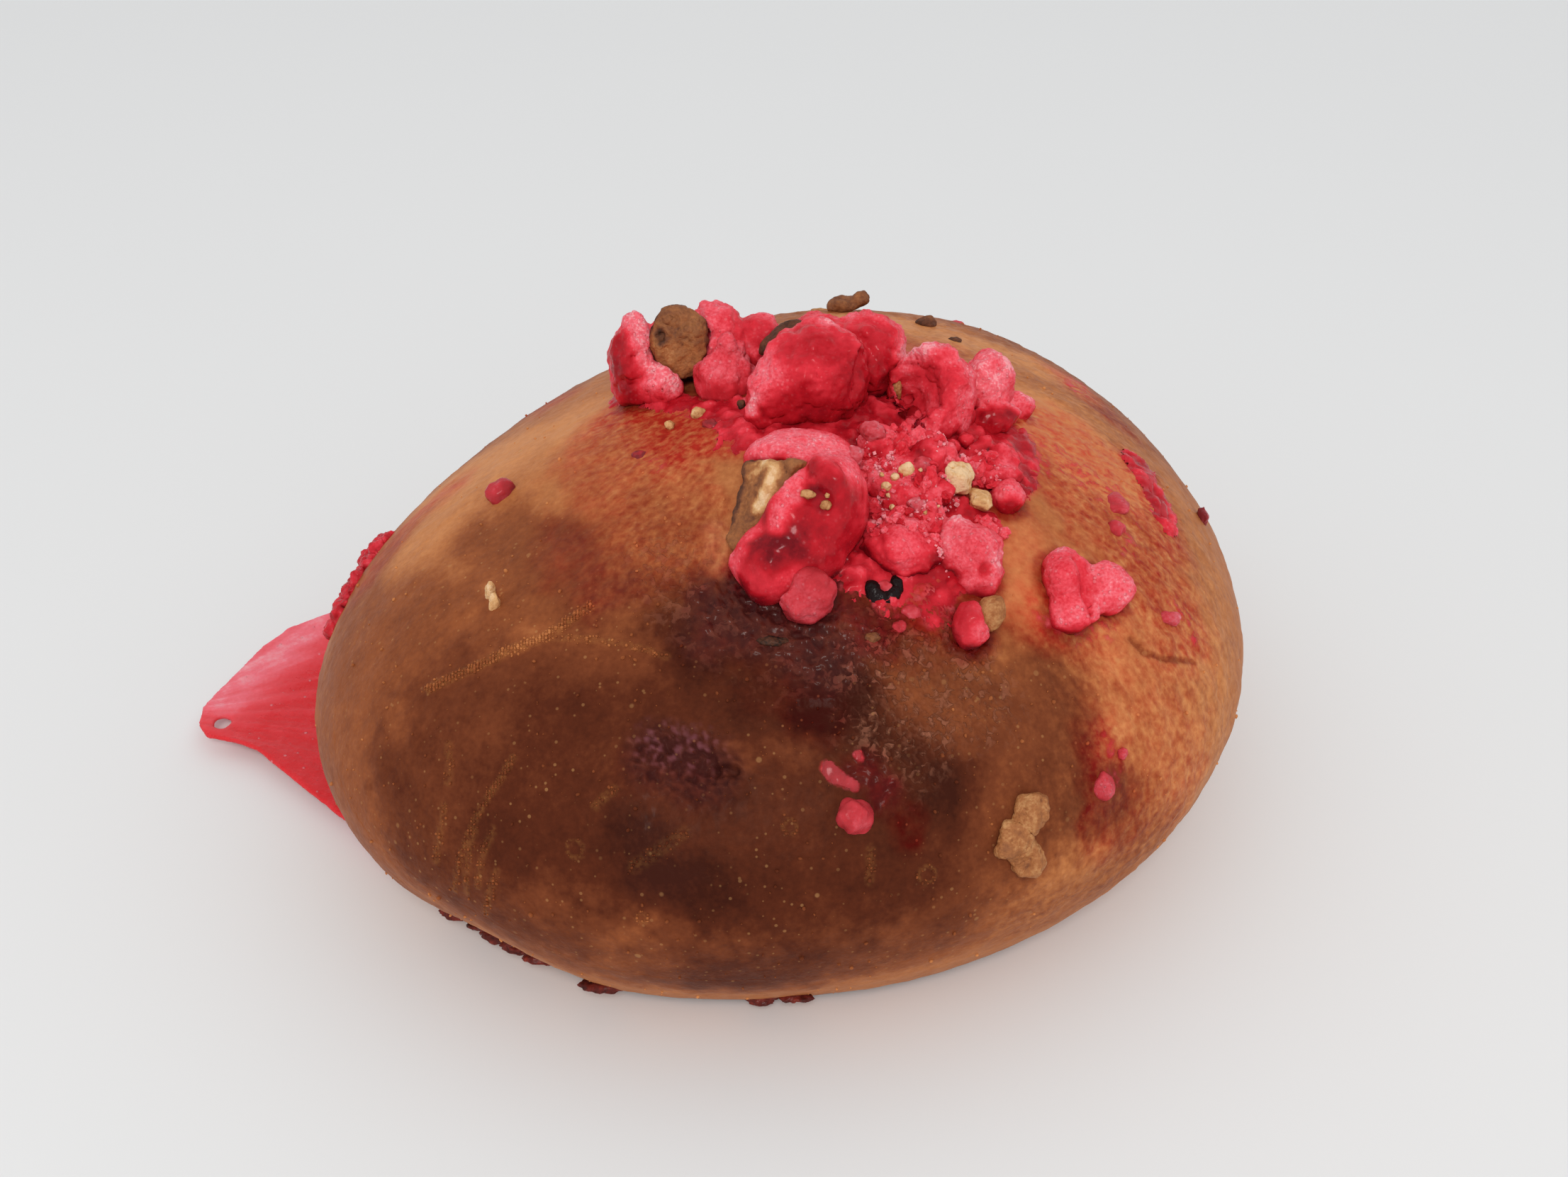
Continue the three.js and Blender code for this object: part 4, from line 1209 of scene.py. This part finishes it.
# How many corners each broken facet has, how deep a cut goes, what share of the bulge it leaves, how
# little of the side faces the camera where the dark skin begins, and that skin's tone
NUT_FACET = 90
NUT_FACETS = {"nut_cream": 420, "nut_chip": 300, "nut_side": 160}
NUT_CUTS = {"nut_split": 1.5}
CUT_SLOPE = 0.12
CUT_SKIN = (0.5, 0.15)
CUT_SKIN_TONE = 0.14

# Tone from dark skin 0 to cream 1, and unevenness
ALMONDS = {
    "nut_front": (0.48, 0.22), "nut_split": (0.46, 0.34), "nut_skin": (0.17, 0.12), "nut_bead": (0.66, 0.15),
    "nut_cream": (0.97, 0.5), "nut_chip": (0.84, 0.45), "nut_top": (0.38, 0.2), "nut_side": (0.6, 0.36),
}

# Places of another tone: pixels, reach and tone. The split almond's hole is painted dark as painted shade
ALMOND_SPOTS = {
    "nut_front": {
        "left": ([(1046, 665), (1045, 700), (1040, 735)], 1.4, 0.46),
        "flesh": ([(1080, 650), (1093, 662), (1085, 690), (1072, 715)], 1.0, 1.02),
        "fold": ([(1058, 672), (1076, 662), (1098, 652)], 0.4, 0.72),
        "frame": ([(1034, 735), (1038, 690), (1046, 642), (1112, 640)], 0.55, 0.18),
        "pits": ([(1084, 650), (1088, 655)], 0.35, 0.3),
        "lower pits": ([(1066, 688), (1064, 694)], 0.4, 0.3),
    },
    "nut_split": {
        "top": ([(938, 450), (962, 446), (985, 458), (975, 468)], 2.0, 0.44),
        "foot": ([(943, 496), (956, 510), (972, 496)], 1.7, 0.57),
        # Painted shade: the hole is painted near black
        "hole": ([(930, 471), (935, 479)], 0.8, 0.0),
    },
}

# Swellings and hollows: pixels, reach and rise
ALMOND_DENTS = {
    "nut_front": {
        "flesh": ([(1085, 656), (1078, 700)], 0.8, 0.35),
        "left": ([(1050, 690), (1046, 715)], 1.0, -0.35),
    },
    "nut_split": {
        "cap": ([(938, 452), (962, 448), (985, 460), (972, 470)], 1.5, 0.5),
        "hole": ([(931, 474)], 0.8, -0.7),
        "foot": ([(948, 500), (965, 505)], 1.5, -0.5),
    },
}


def cut_face(form, depth):
    """Flattens the side of an almond that shows, where it was cut, and returns where its skin begins."""
    if not depth:
        return np.zeros(len(form.corners))
    outward = np.array([0, -math.cos(CAMERA_RISE), math.sin(CAMERA_RISE)])
    height = form.corners @ outward
    plane = height.max() - depth
    over = np.maximum(height - plane, 0)
    form.corners = form.corners - (1 - CUT_SLOPE) * over[:, None] * outward
    return smooth_step(*CUT_SKIN, form.normals() @ outward)


def almond(name, seed):
    """An almond piece with the form of its solid, and its tone at each corner, darker in its hollows as
    painted shade.
    """
    tone, unevenness = ALMONDS[name]
    form = node_form(name, ALMOND_STEP)
    find = seen_on(form)
    rim = cut_face(form, NUT_CUTS.get(name, 0.0))
    chipped(form.ease(3), NUT_FACETS.get(name, NUT_FACET), seed)
    surface = rough(form.corners, 1.4, seed, 3) + 0.4 * grains(form.corners, 0.8, seed) - 0.2
    form.push(0.2 + unevenness * surface)
    dented(form, ALMOND_DENTS.get(name, {}), find)
    ragged = 0.3 * rough(form.corners, 1.0, seed + 5)
    # Painted shade: darker in the hollows
    shade = 0.35 * smooth_step(0.0, 0.16, form.hollowness(8))
    tan = tone - shade + 0.1 * rough(form.corners, 2.5, seed + 9)
    tan = painted(form.corners, tan, ALMOND_SPOTS.get(name, {}), find, ragged)
    return form, np.clip(tan + (CUT_SKIN_TONE - tan) * rim, 0, 1)


# Small toppings

# Baked into the crust: plan place, height above the crust, radii, and melt or tan
SUGAR_BITS = {
    "left bead": ((-33.4, -10.7), 0.0, (2.0, 1.9, 1.6), 0.66),
    "red drop": ((6.0, -52.8), -0.4, (2.0, 1.7, 2.4), 0.55),
    "right dot": ((32.7, -43.7), -0.2, (1.3, 1.3, 1.6), 0.4),
    "small right dot": ((35.0, -40.5), 0.1, (0.6, 0.6, 0.8), 0.4),
    "right strip top": ((42.2, -1.5), -0.9, (1.6, 3.2, 1.5), 0.5),
    "right strip foot": ((43.6, -5.8), -0.9, (1.3, 3.0, 1.5), 0.6),
    "right patch": ((37.1, -10.7), -0.5, (1.7, 2.4, 1.1), 0.4),
    "right grain": ((36.6, -15.8), 0.1, (1.1, 1.0, 0.9), 0.5),
    "right flake": ((42.0, -24.1), 0.2, (1.3, 0.8, 0.9), 0.2),
    "right spur": ((50.9, 2.6), 0.5, (0.7, 1.0, 1.2), 0.85),
    "back crumb": ((-14.0, 30.0), 0.2, (1.5, 1.2, 1.2), 0.6),
    "back dot": ((23.0, 46.5), 0.2, (1.6, 1.4, 1.4), 0.35),
    "back drop": ((-26.0, 38.0), 0.1, (1.4, 1.5, 1.5), 0.6),
}
NUT_BITS = {
    "top shard": ((-10.8, -6.9), 0.2, (0.9, 0.8, 0.7), 0.75),
    "top grain": ((-14.0, -8.2), 0.1, (0.6, 0.6, 0.5), 0.75),
    "rim crumb": ((17.5, 26.0), 0.3, (1.3, 0.9, 0.9), 0.3),
    "rim speck": ((20.5, 19.0), 0.0, (0.9, 0.7, 0.5), 0.24),
    "back sliver": ((4.0, 44.0), 0.1, (1.8, 0.8, 1.0), 0.7),
}

# The same by the pixel where each shows, on the crust or on sugar
SUGAR_CRUMBS = {
    "stain, left": ((905, 640), -0.5, (1.2, 0.9, 0.7), 0.8),
    "stain, jelly": ((1002, 599), -0.2, (1.0, 0.8, 0.7), 0.85),
    "heap, left": ((1205, 640), -0.2, (1.0, 1.1, 1.0), 0.2),
    "heap, upper": ((1232, 608), -0.2, (1.4, 1.1, 1.2), 0.24),
    "heap, middle": ((1285, 618), -0.1, (1.3, 1.2, 1.3), 0.36),
    "heap, pink chunk": ((1300, 655), -0.1, (1.1, 0.9, 1.0), 0.42),
    "heap, low chunk": ((1295, 712), -0.1, (1.2, 0.9, 0.9), 0.22),
    "heap, left chunk": ((1228, 742), -0.1, (0.9, 0.8, 0.9), 0.3),
    "burnt bubble, middle": ((1247, 824), -0.4, (0.9, 0.8, 0.8), 0.45),
    "under the bead": ((1285, 860), -0.4, (1.3, 1.0, 0.8), 0.45),
    "left of the bead": ((1268, 880), -0.4, (0.9, 0.8, 0.6), 0.5),
}
NUT_CRUMBS = {
    "yellow sliver": ((1265, 550), 0.3, (0.6, 0.8, 1.8), 0.74),
    "front, bit": ((1140, 700), 0.2, (0.8, 0.5, 0.4), 0.7),
    "front, second bit": ((1165, 715), 0.2, (0.6, 0.5, 0.5), 0.62),
    "front, third bit": ((1168, 700), 0.1, (0.3, 0.4, 0.3), 0.7),
    "heap, bit": ((1278, 668), 0.4, (0.9, 0.7, 0.8), 0.86),
    "heap, second bit": ((1250, 690), 0.3, (0.6, 0.5, 0.5), 0.8),
    "heap, third bit": ((1262, 676), 0.3, (0.5, 0.5, 0.4), 0.84),
    "back, foot": ((1046, 574), 0.2, (0.5, 0.5, 0.6), 0.1),
    "left sliver, top": ((692, 839), 0.0, (0.6, 0.7, 1.5), 0.92),
    "left sliver, foot": ((699, 853), 0.0, (0.6, 0.7, 1.5), 0.88),
    "husk": ((1090, 902), -0.2, (1.8, 0.7, 0.4), 0.14),
    "amber seed": ((1231, 898), -0.2, (0.9, 0.6, 0.5), 0.4),
}

# How flat they broke, how dull they are, and by how much their sides and feet are darker than their tops as
# painted shade: more melted for sugar, less tan for almonds
BITS_FACETS = 0.4
BITS_DULL_AND_SHADE = 0.42
CRUMBS_DULL_AND_SHADE = 0.4
SUGAR_BITS_EDGE_SHADE = 0.3
NUT_BITS_EDGE_SHADE = -0.15
BUN_MIDDLE = np.array([0, 0, 15])

# The granular run on the left flank: plan places of its ends, grains, spread, radii and melt
FLANK_START = (-50.4, 2.0)
FLANK_END = (-55.2, -9.5)
FLANK_GRAINS = 70
FLANK_SPREAD = 2.4
FLANK_RADIUS = (0.5, 1.5)
FLANK_MELT = 0.62
FLANK_DULL_AND_SHADE = 0.1

# Burnt beads under the rim: turns in degrees, heights, radii, their form, how far in they sit, and tone
DRIP_TURNS = (238, 235, 231, 228, 224, 247, 266, 270)
DRIP_HEIGHT = (2.0, 4.5)
DRIP_RADIUS = (0.9, 1.4)
DRIP_FORM = np.array([1.9, 1.1, 0.7])
DRIP_SINK = 0.4
DRIP_PALE = 0.45

# The rim of a burnt bubble: pixels, lumps, radii from end to end, how deep it sits, and tone
BURNT_RIM = [(1230, 830), (1233, 839), (1245, 843), (1257, 839), (1264, 829), (1264, 820)]
BURNT_RIM_LUMPS = 26
BURNT_RIM_RADIUS = (1.15, 0.8)
BURNT_RIM_SINK = 0.62
BURNT_RIM_PALE = -0.8


def bits(table, find, seed, edge):
    """Lumps seated where each is found, and the value of each, moved by that much as painted light and
    shade: paler on top, darker on its sides and feet.
    """
    forms = []
    values = []
    for i, (at, up, size, value) in enumerate(table.values()):
        place = find(at)
        form = chipped(lump(place + [0, 0, up], size, seed + i, 12, 0.28), 50, seed + i, BITS_FACETS)
        form.push(0.12 * rough(form.corners, 0.9, seed + i, 3))
        forms.append(form)
        # Painted light and shade: paler where the lump faces away from the bun's middle, darker at its sides
        # and foot
        outward = place - BUN_MIDDLE
        rise = (form.corners - place) @ outward / np.linalg.norm(outward) / max(size)
        values.append(value + edge * (0.5 - rise))
    return joined(forms), np.concatenate(values)


def flank_run(find, draw):
    """Granular dark red sugar that ran down the left flank."""
    forms = []
    start, end = np.array(FLANK_START), np.array(FLANK_END)
    for i in range(FLANK_GRAINS):
        place = start + (end - start) * draw.random() + FLANK_SPREAD * (draw.random(2) - 0.5)
        radius = FLANK_RADIUS[0] + (FLANK_RADIUS[1] - FLANK_RADIUS[0]) * draw.random() ** 2
        forms.append(lump(find(place), radius * draw.uniform(0.7, 1.2, 3), 300 + i, 8, 0.3))
    form = joined(forms)
    return form, FLANK_MELT + 0.3 * rough(form.corners, 1.2, 31)


def drips(draw):
    """Burnt sugar beads under the front left rim."""
    forms = []
    for i, degrees in enumerate(DRIP_TURNS):
        height = draw.uniform(*DRIP_HEIGHT)
        foot = np.array(1 - height / WAIST_HEIGHT)
        centre = bun_skin(np.array(math.radians(degrees)), foot * BASE_CLIMB, -DRIP_SINK)
        radius = draw.uniform(*DRIP_RADIUS)
        forms.append(lump(centre, radius * DRIP_FORM, 400 + i, 10, 0.5))
    return joined(forms)


def burnt_rim(find):
    """The black rim of a burnt bubble beside the nugget."""
    corners = np.array(BURNT_RIM, float)
    steps = np.linspace(0, len(corners) - 1, BURNT_RIM_LUMPS)
    across, down = [np.interp(steps, np.arange(len(corners)), corners[:, k]) for k in range(2)]
    radii = np.linspace(*BURNT_RIM_RADIUS, BURNT_RIM_LUMPS)
    outward = np.array([0, -math.sin(CAMERA_RISE), math.cos(CAMERA_RISE)])
    places = [find((px, py)) - BURNT_RIM_SINK * r * outward for px, py, r in zip(across, down, radii)]
    form = joined([lump(at, (r, r, r), 430, 6, 0.1) for at, r in zip(places, radii)])
    return form.push(0.15 * rough(form.corners, 0.9, 431))


# What is scattered

# Blisters of the crust: how many, their radii, and how much paler than the crust they are
BLISTERS = {"line_blisters": (1100, (0.08, 0.2), 0.28), "loose_blisters": (650, (0.08, 0.26), 0.22)}

# On the crumbled heap, within a reach of its middle and away from the smooth lump in it: how many,
# their radii, squares along a side, how deep they sit, unevenness, and limits of melt or tan
HEAP_MIDDLE = (1300, 680)
HEAP_REACH = 12
HEAP_LUMP = (1280, 775)
HEAP_LUMP_REACH = (2.4, 4.0)
HEAP_BITS = {
    "heap_grains": (150, (0.35, 0.95), 4, 0.8, 0.7, (0.2, 0.7)),
    "heap_crystals": (620, (0.12, 0.36), 1, 0.2, 0.3, (-0.15, 0.25)),
    "heap_crumbs": (12, (0.2, 0.4), 5, 0.3, 0.5, (0.8, 1.0)),
}


def places_on(form, count, draw, wanted):
    """Random places on a form's faces where the wanted share is high, with their normals."""
    middles = form.corners[form.faces].mean(1)
    weight = np.clip(wanted[form.faces].mean(1), 0, None)
    chosen = draw.choice(len(middles), count, p=weight / weight.sum())
    return middles[chosen], form.normals()[form.faces[chosen, 0]]


def blisters(crust, masks, shown, look, draw):
    """Tiny golden blisters along the stretched lines, and loose ones over the open crust."""
    open_crust = masks["flecked"] * np.clip(1 - 2 * masks["film"] - masks["red"], 0, 1)
    open_crust = open_crust * smooth_step(2.0, 6.0, crust.corners[:, 2])
    wanted = {"line_blisters": masks["gold"] ** 2, "loose_blisters": open_crust}
    tree = points_tree(crust.corners)
    for name, (count, radii, paler) in BLISTERS.items():
        places, normals = places_on(crust, count, draw, wanted[name] * shown)
        form = scattered(places, normals, spread(draw, radii, count), draw, 2, 0.75, 0.3)
        local = [tree.find(place)[1] for place in places.tolist()]
        own = {key: np.zeros(len(form.corners)) for key in masks}
        own["tone"] = per_grain(masks["tone"][local] - paler * draw.uniform(0.4, 1.2, count), form)
        own["red"] = per_grain(masks["red"][local], form)
        own["along"] = form.corners * MM
        piece(name, form, look, own)


def heap_bits(heap, on_sugar, sugar, roasted, draw):
    """Loose grains, crystals in clusters and almond crumbs on top of the crumbled heap."""
    def away(pixel):
        return np.linalg.norm(heap.corners - on_sugar(pixel), axis=1)

    bare = smooth_step(*HEAP_LUMP_REACH, away(HEAP_LUMP))
    near = smooth_step(HEAP_REACH, 0.6 * HEAP_REACH, away(HEAP_MIDDLE))
    top = smooth_step(-0.2, 0.5, heap.normals()[:, 2]) * bare * near
    clustered = top * np.clip(rough(heap.corners, 2.5, 66) - 0.02, 0, 1)
    for name, (count, radii, steps, sink, unevenness, limits) in HEAP_BITS.items():
        places, normals = places_on(heap, count, draw, clustered if name == "heap_crystals" else top)
        form = scattered(places, normals, spread(draw, radii, count), draw, steps, sink, unevenness)
        own = per_grain(draw.uniform(*limits, count), form)
        if name == "heap_crumbs":
            piece(name, form, roasted, {"tan": own})
        else:
            piece(name, form, sugar, {"melt_and_shade": own}, smooth=False)


def scattered(places, normals, radii, draw, steps, sink, unevenness):
    """Lumps of those radii at the places, each turned at random."""
    forms = []
    for place, normal, radius in zip(places, normals, radii):
        size = radius * draw.uniform(0.65, 1.25, 3)
        centre = place + normal * radius * (1 - sink)
        forms.append(lump(centre, size, draw.integers(1000), steps, unevenness, random_turn(draw)))
    return joined(forms)


def spread(draw, limits, count):
    """Sizes between the limits, with more small ones."""
    return limits[0] + (limits[1] - limits[0]) * draw.random(count) ** 2


def per_grain(values, form):
    """A value for each grain, given to all its corners."""
    return np.repeat(values, len(form.corners) // len(values))


# The plate of set sugar

# Its mesh, the plan place that its streaks fan out from, and the pixels of its pale and dark edges
SHEET_STEP = 0.26
SHEET_TIP = (-77.0, -1.0)
SHEET_UPPER_EDGE = [(312, 990), (380, 925), (445, 875)]
SHEET_LOWER_EDGE = [(420, 1085), (485, 1150)]


def sheet_form():
    """The plate with streaks that fan out, and how pale it is at each corner."""
    form = node_form("sugar_sheet", SHEET_STEP).ease(3)
    away = form.corners[:, :2] - SHEET_TIP
    reach = np.hypot(away[:, 0], away[:, 1])
    turn = np.arctan2(away[:, 1], away[:, 0] + 6)
    fan = np.stack([16 * turn, 0.06 * reach, 0 * reach], 1)
    streaks = rough(fan, 1.0, 51, 3)
    form.push(0.08 * streaks + 0.06 * rough(form.corners, 1.6, 52))
    find = seen_on(form)
    upper = path_distance(form.corners, SHEET_UPPER_EDGE, find)
    lower = path_distance(form.corners, SHEET_LOWER_EDGE, find)
    pale = 0.04 + 0.74 * smooth_step(9, 0, upper) - 0.15 * smooth_step(8, 0, lower) + 0.18 * streaks
    return form, np.clip(pale, 0, 1)


# Stage, light and camera

WORLD_COLOUR = (0.985, 1.0, 1.01)
WORLD_STRENGTH = 0.76
FRONT_LIGHT_AT = (0, -700, 700)
FRONT_LIGHT_AIM = (0, 0, 20)
FRONT_LIGHT_SIZE = 260
FRONT_LIGHT_POWER = 3.4
FRONT_LIGHT_COLOUR = (1.0, 0.975, 0.945)
FLOOR_HALF = 3000
NEAREST = 10
FARTHEST = 20000


def stand_camera():
    data = bpy.data.cameras.new("camera")
    data.lens = LENS
    data.sensor_width = SENSOR
    camera = bpy.data.objects.new("camera", data)
    eye, _ = sight_line((PHOTO_WIDTH / 2, PHOTO_HEIGHT / 2))
    camera.location = eye * MM
    camera.rotation_euler = (math.pi / 2 - CAMERA_RISE, 0, 0)
    data.clip_start = NEAREST * MM
    data.clip_end = FARTHEST * MM
    bpy.context.scene.collection.objects.link(camera)
    bpy.context.scene.camera = camera


def front_light():
    data = bpy.data.lights.new("soft front light", "AREA")
    data.shape = "DISK"
    data.size = FRONT_LIGHT_SIZE * MM
    data.energy = FRONT_LIGHT_POWER
    data.color = FRONT_LIGHT_COLOUR
    light = bpy.data.objects.new("soft front light", data)
    at, aim = Vector(FRONT_LIGHT_AT), Vector(FRONT_LIGHT_AIM)
    light.location = at * MM
    light.rotation_euler = (aim - at).to_track_quat("-Z", "Y").to_euler()
    bpy.context.scene.collection.objects.link(light)


def set_stage():
    floor_mesh = bpy.data.meshes.new("floor")
    signs = ((-1, -1), (1, -1), (1, 1), (-1, 1))
    corners = [(FLOOR_HALF * MM * x, FLOOR_HALF * MM * y, 0) for x, y in signs]
    floor_mesh.from_pydata(corners, [], [(0, 1, 2, 3)])
    floor_mesh.materials.append(floor_look())
    floor = bpy.data.objects.new("floor", floor_mesh)
    bpy.context.scene.collection.objects.link(floor)
    world = bpy.data.worlds.new("studio")
    world.use_nodes = True
    background = world.node_tree.nodes["Background"]
    background.inputs["Color"].default_value = (*WORLD_COLOUR, 1)
    background.inputs["Strength"].default_value = WORLD_STRENGTH
    bpy.context.scene.world = world
    front_light()
    bpy.context.scene.view_settings.view_transform = "Standard"


# The pieces, in order

DRAW_SEED = 11


def build_crust(crust, on_crust, seen, pralines, draw):
    """The crust, the finer skin in front of it and the blisters on both. Returns the two as one form."""
    baked = crust_look()
    sugar_points = np.concatenate([form.corners for form in pralines.values()])
    skin = front_skin(crust)
    skin_shown, crust_shown = facing_camera(skin), facing_camera(crust)
    skin_masks, masks = [crust_masks(form.corners, seen, on_crust, sugar_points) for form in (skin, crust)]
    skin.push(crust_relief(skin.corners, skin_masks, seen) - SKIN_EDGE * smooth_step(0.5, 0, skin_shown))
    crust.push(crust_relief(crust.corners, masks, seen) - SKIN_SINK * smooth_step(0.5, 1, crust_shown))
    piece("crust", crust, baked, masks, ["bun"])
    piece("front_skin", skin, baked, skin_masks)
    whole = joined([crust, skin])
    whole_masks = {key: np.concatenate([masks[key], skin_masks[key]]) for key in masks}
    shown = np.concatenate([crust_shown < 0.5, skin_shown >= 0.5])
    blisters(whole, whole_masks, shown, baked, draw)
    return whole


def build_glaze(whole, seen, sugar):
    melted, melt_and_shade = glaze(whole, seen)
    # The smear in front is dulled, partly as painted shade
    dull_and_shade = SMEAR_DULL_AND_SHADE * smooth_step(*SMEAR_REGION, melted.corners[:, 1])
    piece("sugar_glaze", melted, sugar, {"melt_and_shade": melt_and_shade, "dull_and_shade": dull_and_shade})
    return melted


def build_pralines(pralines, on_sugar, tree, sugar):
    for i, (name, form) in enumerate(pralines.items()):
        melt_and_shade = sugar_melt_and_shade(form, name, on_sugar, i, tree)
        frosted = smooth_step(0.7, 0.2, melt_and_shade)
        form.push(SUGAR_GRAIN * frosted * rough(form.corners, 0.7, 60 + i))
        masks = {"melt_and_shade": melt_and_shade, "dull_and_shade": DULL_AND_SHADED_PRALINES.get(name, 0.0)}
        piece(name.replace("praline", "sugar"), form, sugar, masks, [name])


def build_almonds(roasted):
    for i, name in enumerate(ALMONDS):
        form, tan = almond(name, 70 + i)
        piece(name.replace("nut", "almond"), form, roasted, {"tan": tan}, [name])


def build_toppings(on_crust, on_top, sugar, roasted, draw):
    # Bits and crumbs are darker on their sides and feet as painted shade, and dulled partly as painted shade
    form, melt_and_shade = bits(SUGAR_BITS, on_crust, 200, SUGAR_BITS_EDGE_SHADE)
    melt_and_shade = melt_and_shade + 0.2 * rough(form.corners, 1.2, 41)
    piece("sugar_bits", form, sugar, {"melt_and_shade": melt_and_shade, "dull_and_shade": BITS_DULL_AND_SHADE})
    form, melt_and_shade = bits(SUGAR_CRUMBS, on_top, 280, SUGAR_BITS_EDGE_SHADE)
    melt_and_shade = melt_and_shade + 0.3 * rough(form.corners, 0.8, 42)
    piece("sugar_crumbs", form, sugar, {"melt_and_shade": melt_and_shade, "dull_and_shade": CRUMBS_DULL_AND_SHADE})
    form, tan = bits(NUT_BITS, on_crust, 240, NUT_BITS_EDGE_SHADE)
    piece("almond_bits", form, roasted, {"tan": tan})
    form, tan = bits(NUT_CRUMBS, on_top, 260, NUT_BITS_EDGE_SHADE)
    piece("almond_crumbs", form, roasted, {"tan": tan})
    form, melt_and_shade = flank_run(on_crust, draw)
    piece("flank_run", form, sugar, {"melt_and_shade": melt_and_shade, "dull_and_shade": FLANK_DULL_AND_SHADE})
    burnt = burnt_look()
    piece("burnt_drips", drips(draw), burnt, {"pale": DRIP_PALE})
    piece("burnt_rim", burnt_rim(on_top), burnt, {"pale": BURNT_RIM_PALE})


def build():
    draw = np.random.default_rng(DRAW_SEED)
    sugar, roasted = sugar_look(), almond_look()
    crust = bun_form()
    tree, on_crust, seen = crust.tree(), below(crust), seen_on(crust)
    pralines = {name: sugar_form(name, i, tree) for i, name in enumerate(PRALINES)}
    on_sugar = seen_on(joined(list(pralines.values())))
    for form in pralines.values():
        dented(form, SUGAR_DENTS, on_sugar)
    whole = build_crust(crust, on_crust, seen, pralines, draw)
    melted = build_glaze(whole, seen, sugar)
    on_top = seen_on(joined([whole, melted, *pralines.values()]))
    build_pralines(pralines, on_sugar, tree, sugar)
    build_almonds(roasted)
    build_toppings(on_crust, on_top, sugar, roasted, draw)
    heap_bits(joined([pralines["praline_crumble"], melted]), on_sugar, sugar, roasted, draw)
    form, pale = sheet_form()
    piece("sugar_plate", form, sheet_look(), {"pale": pale}, ["sugar_sheet"])


build()
stand_camera()
set_stage()
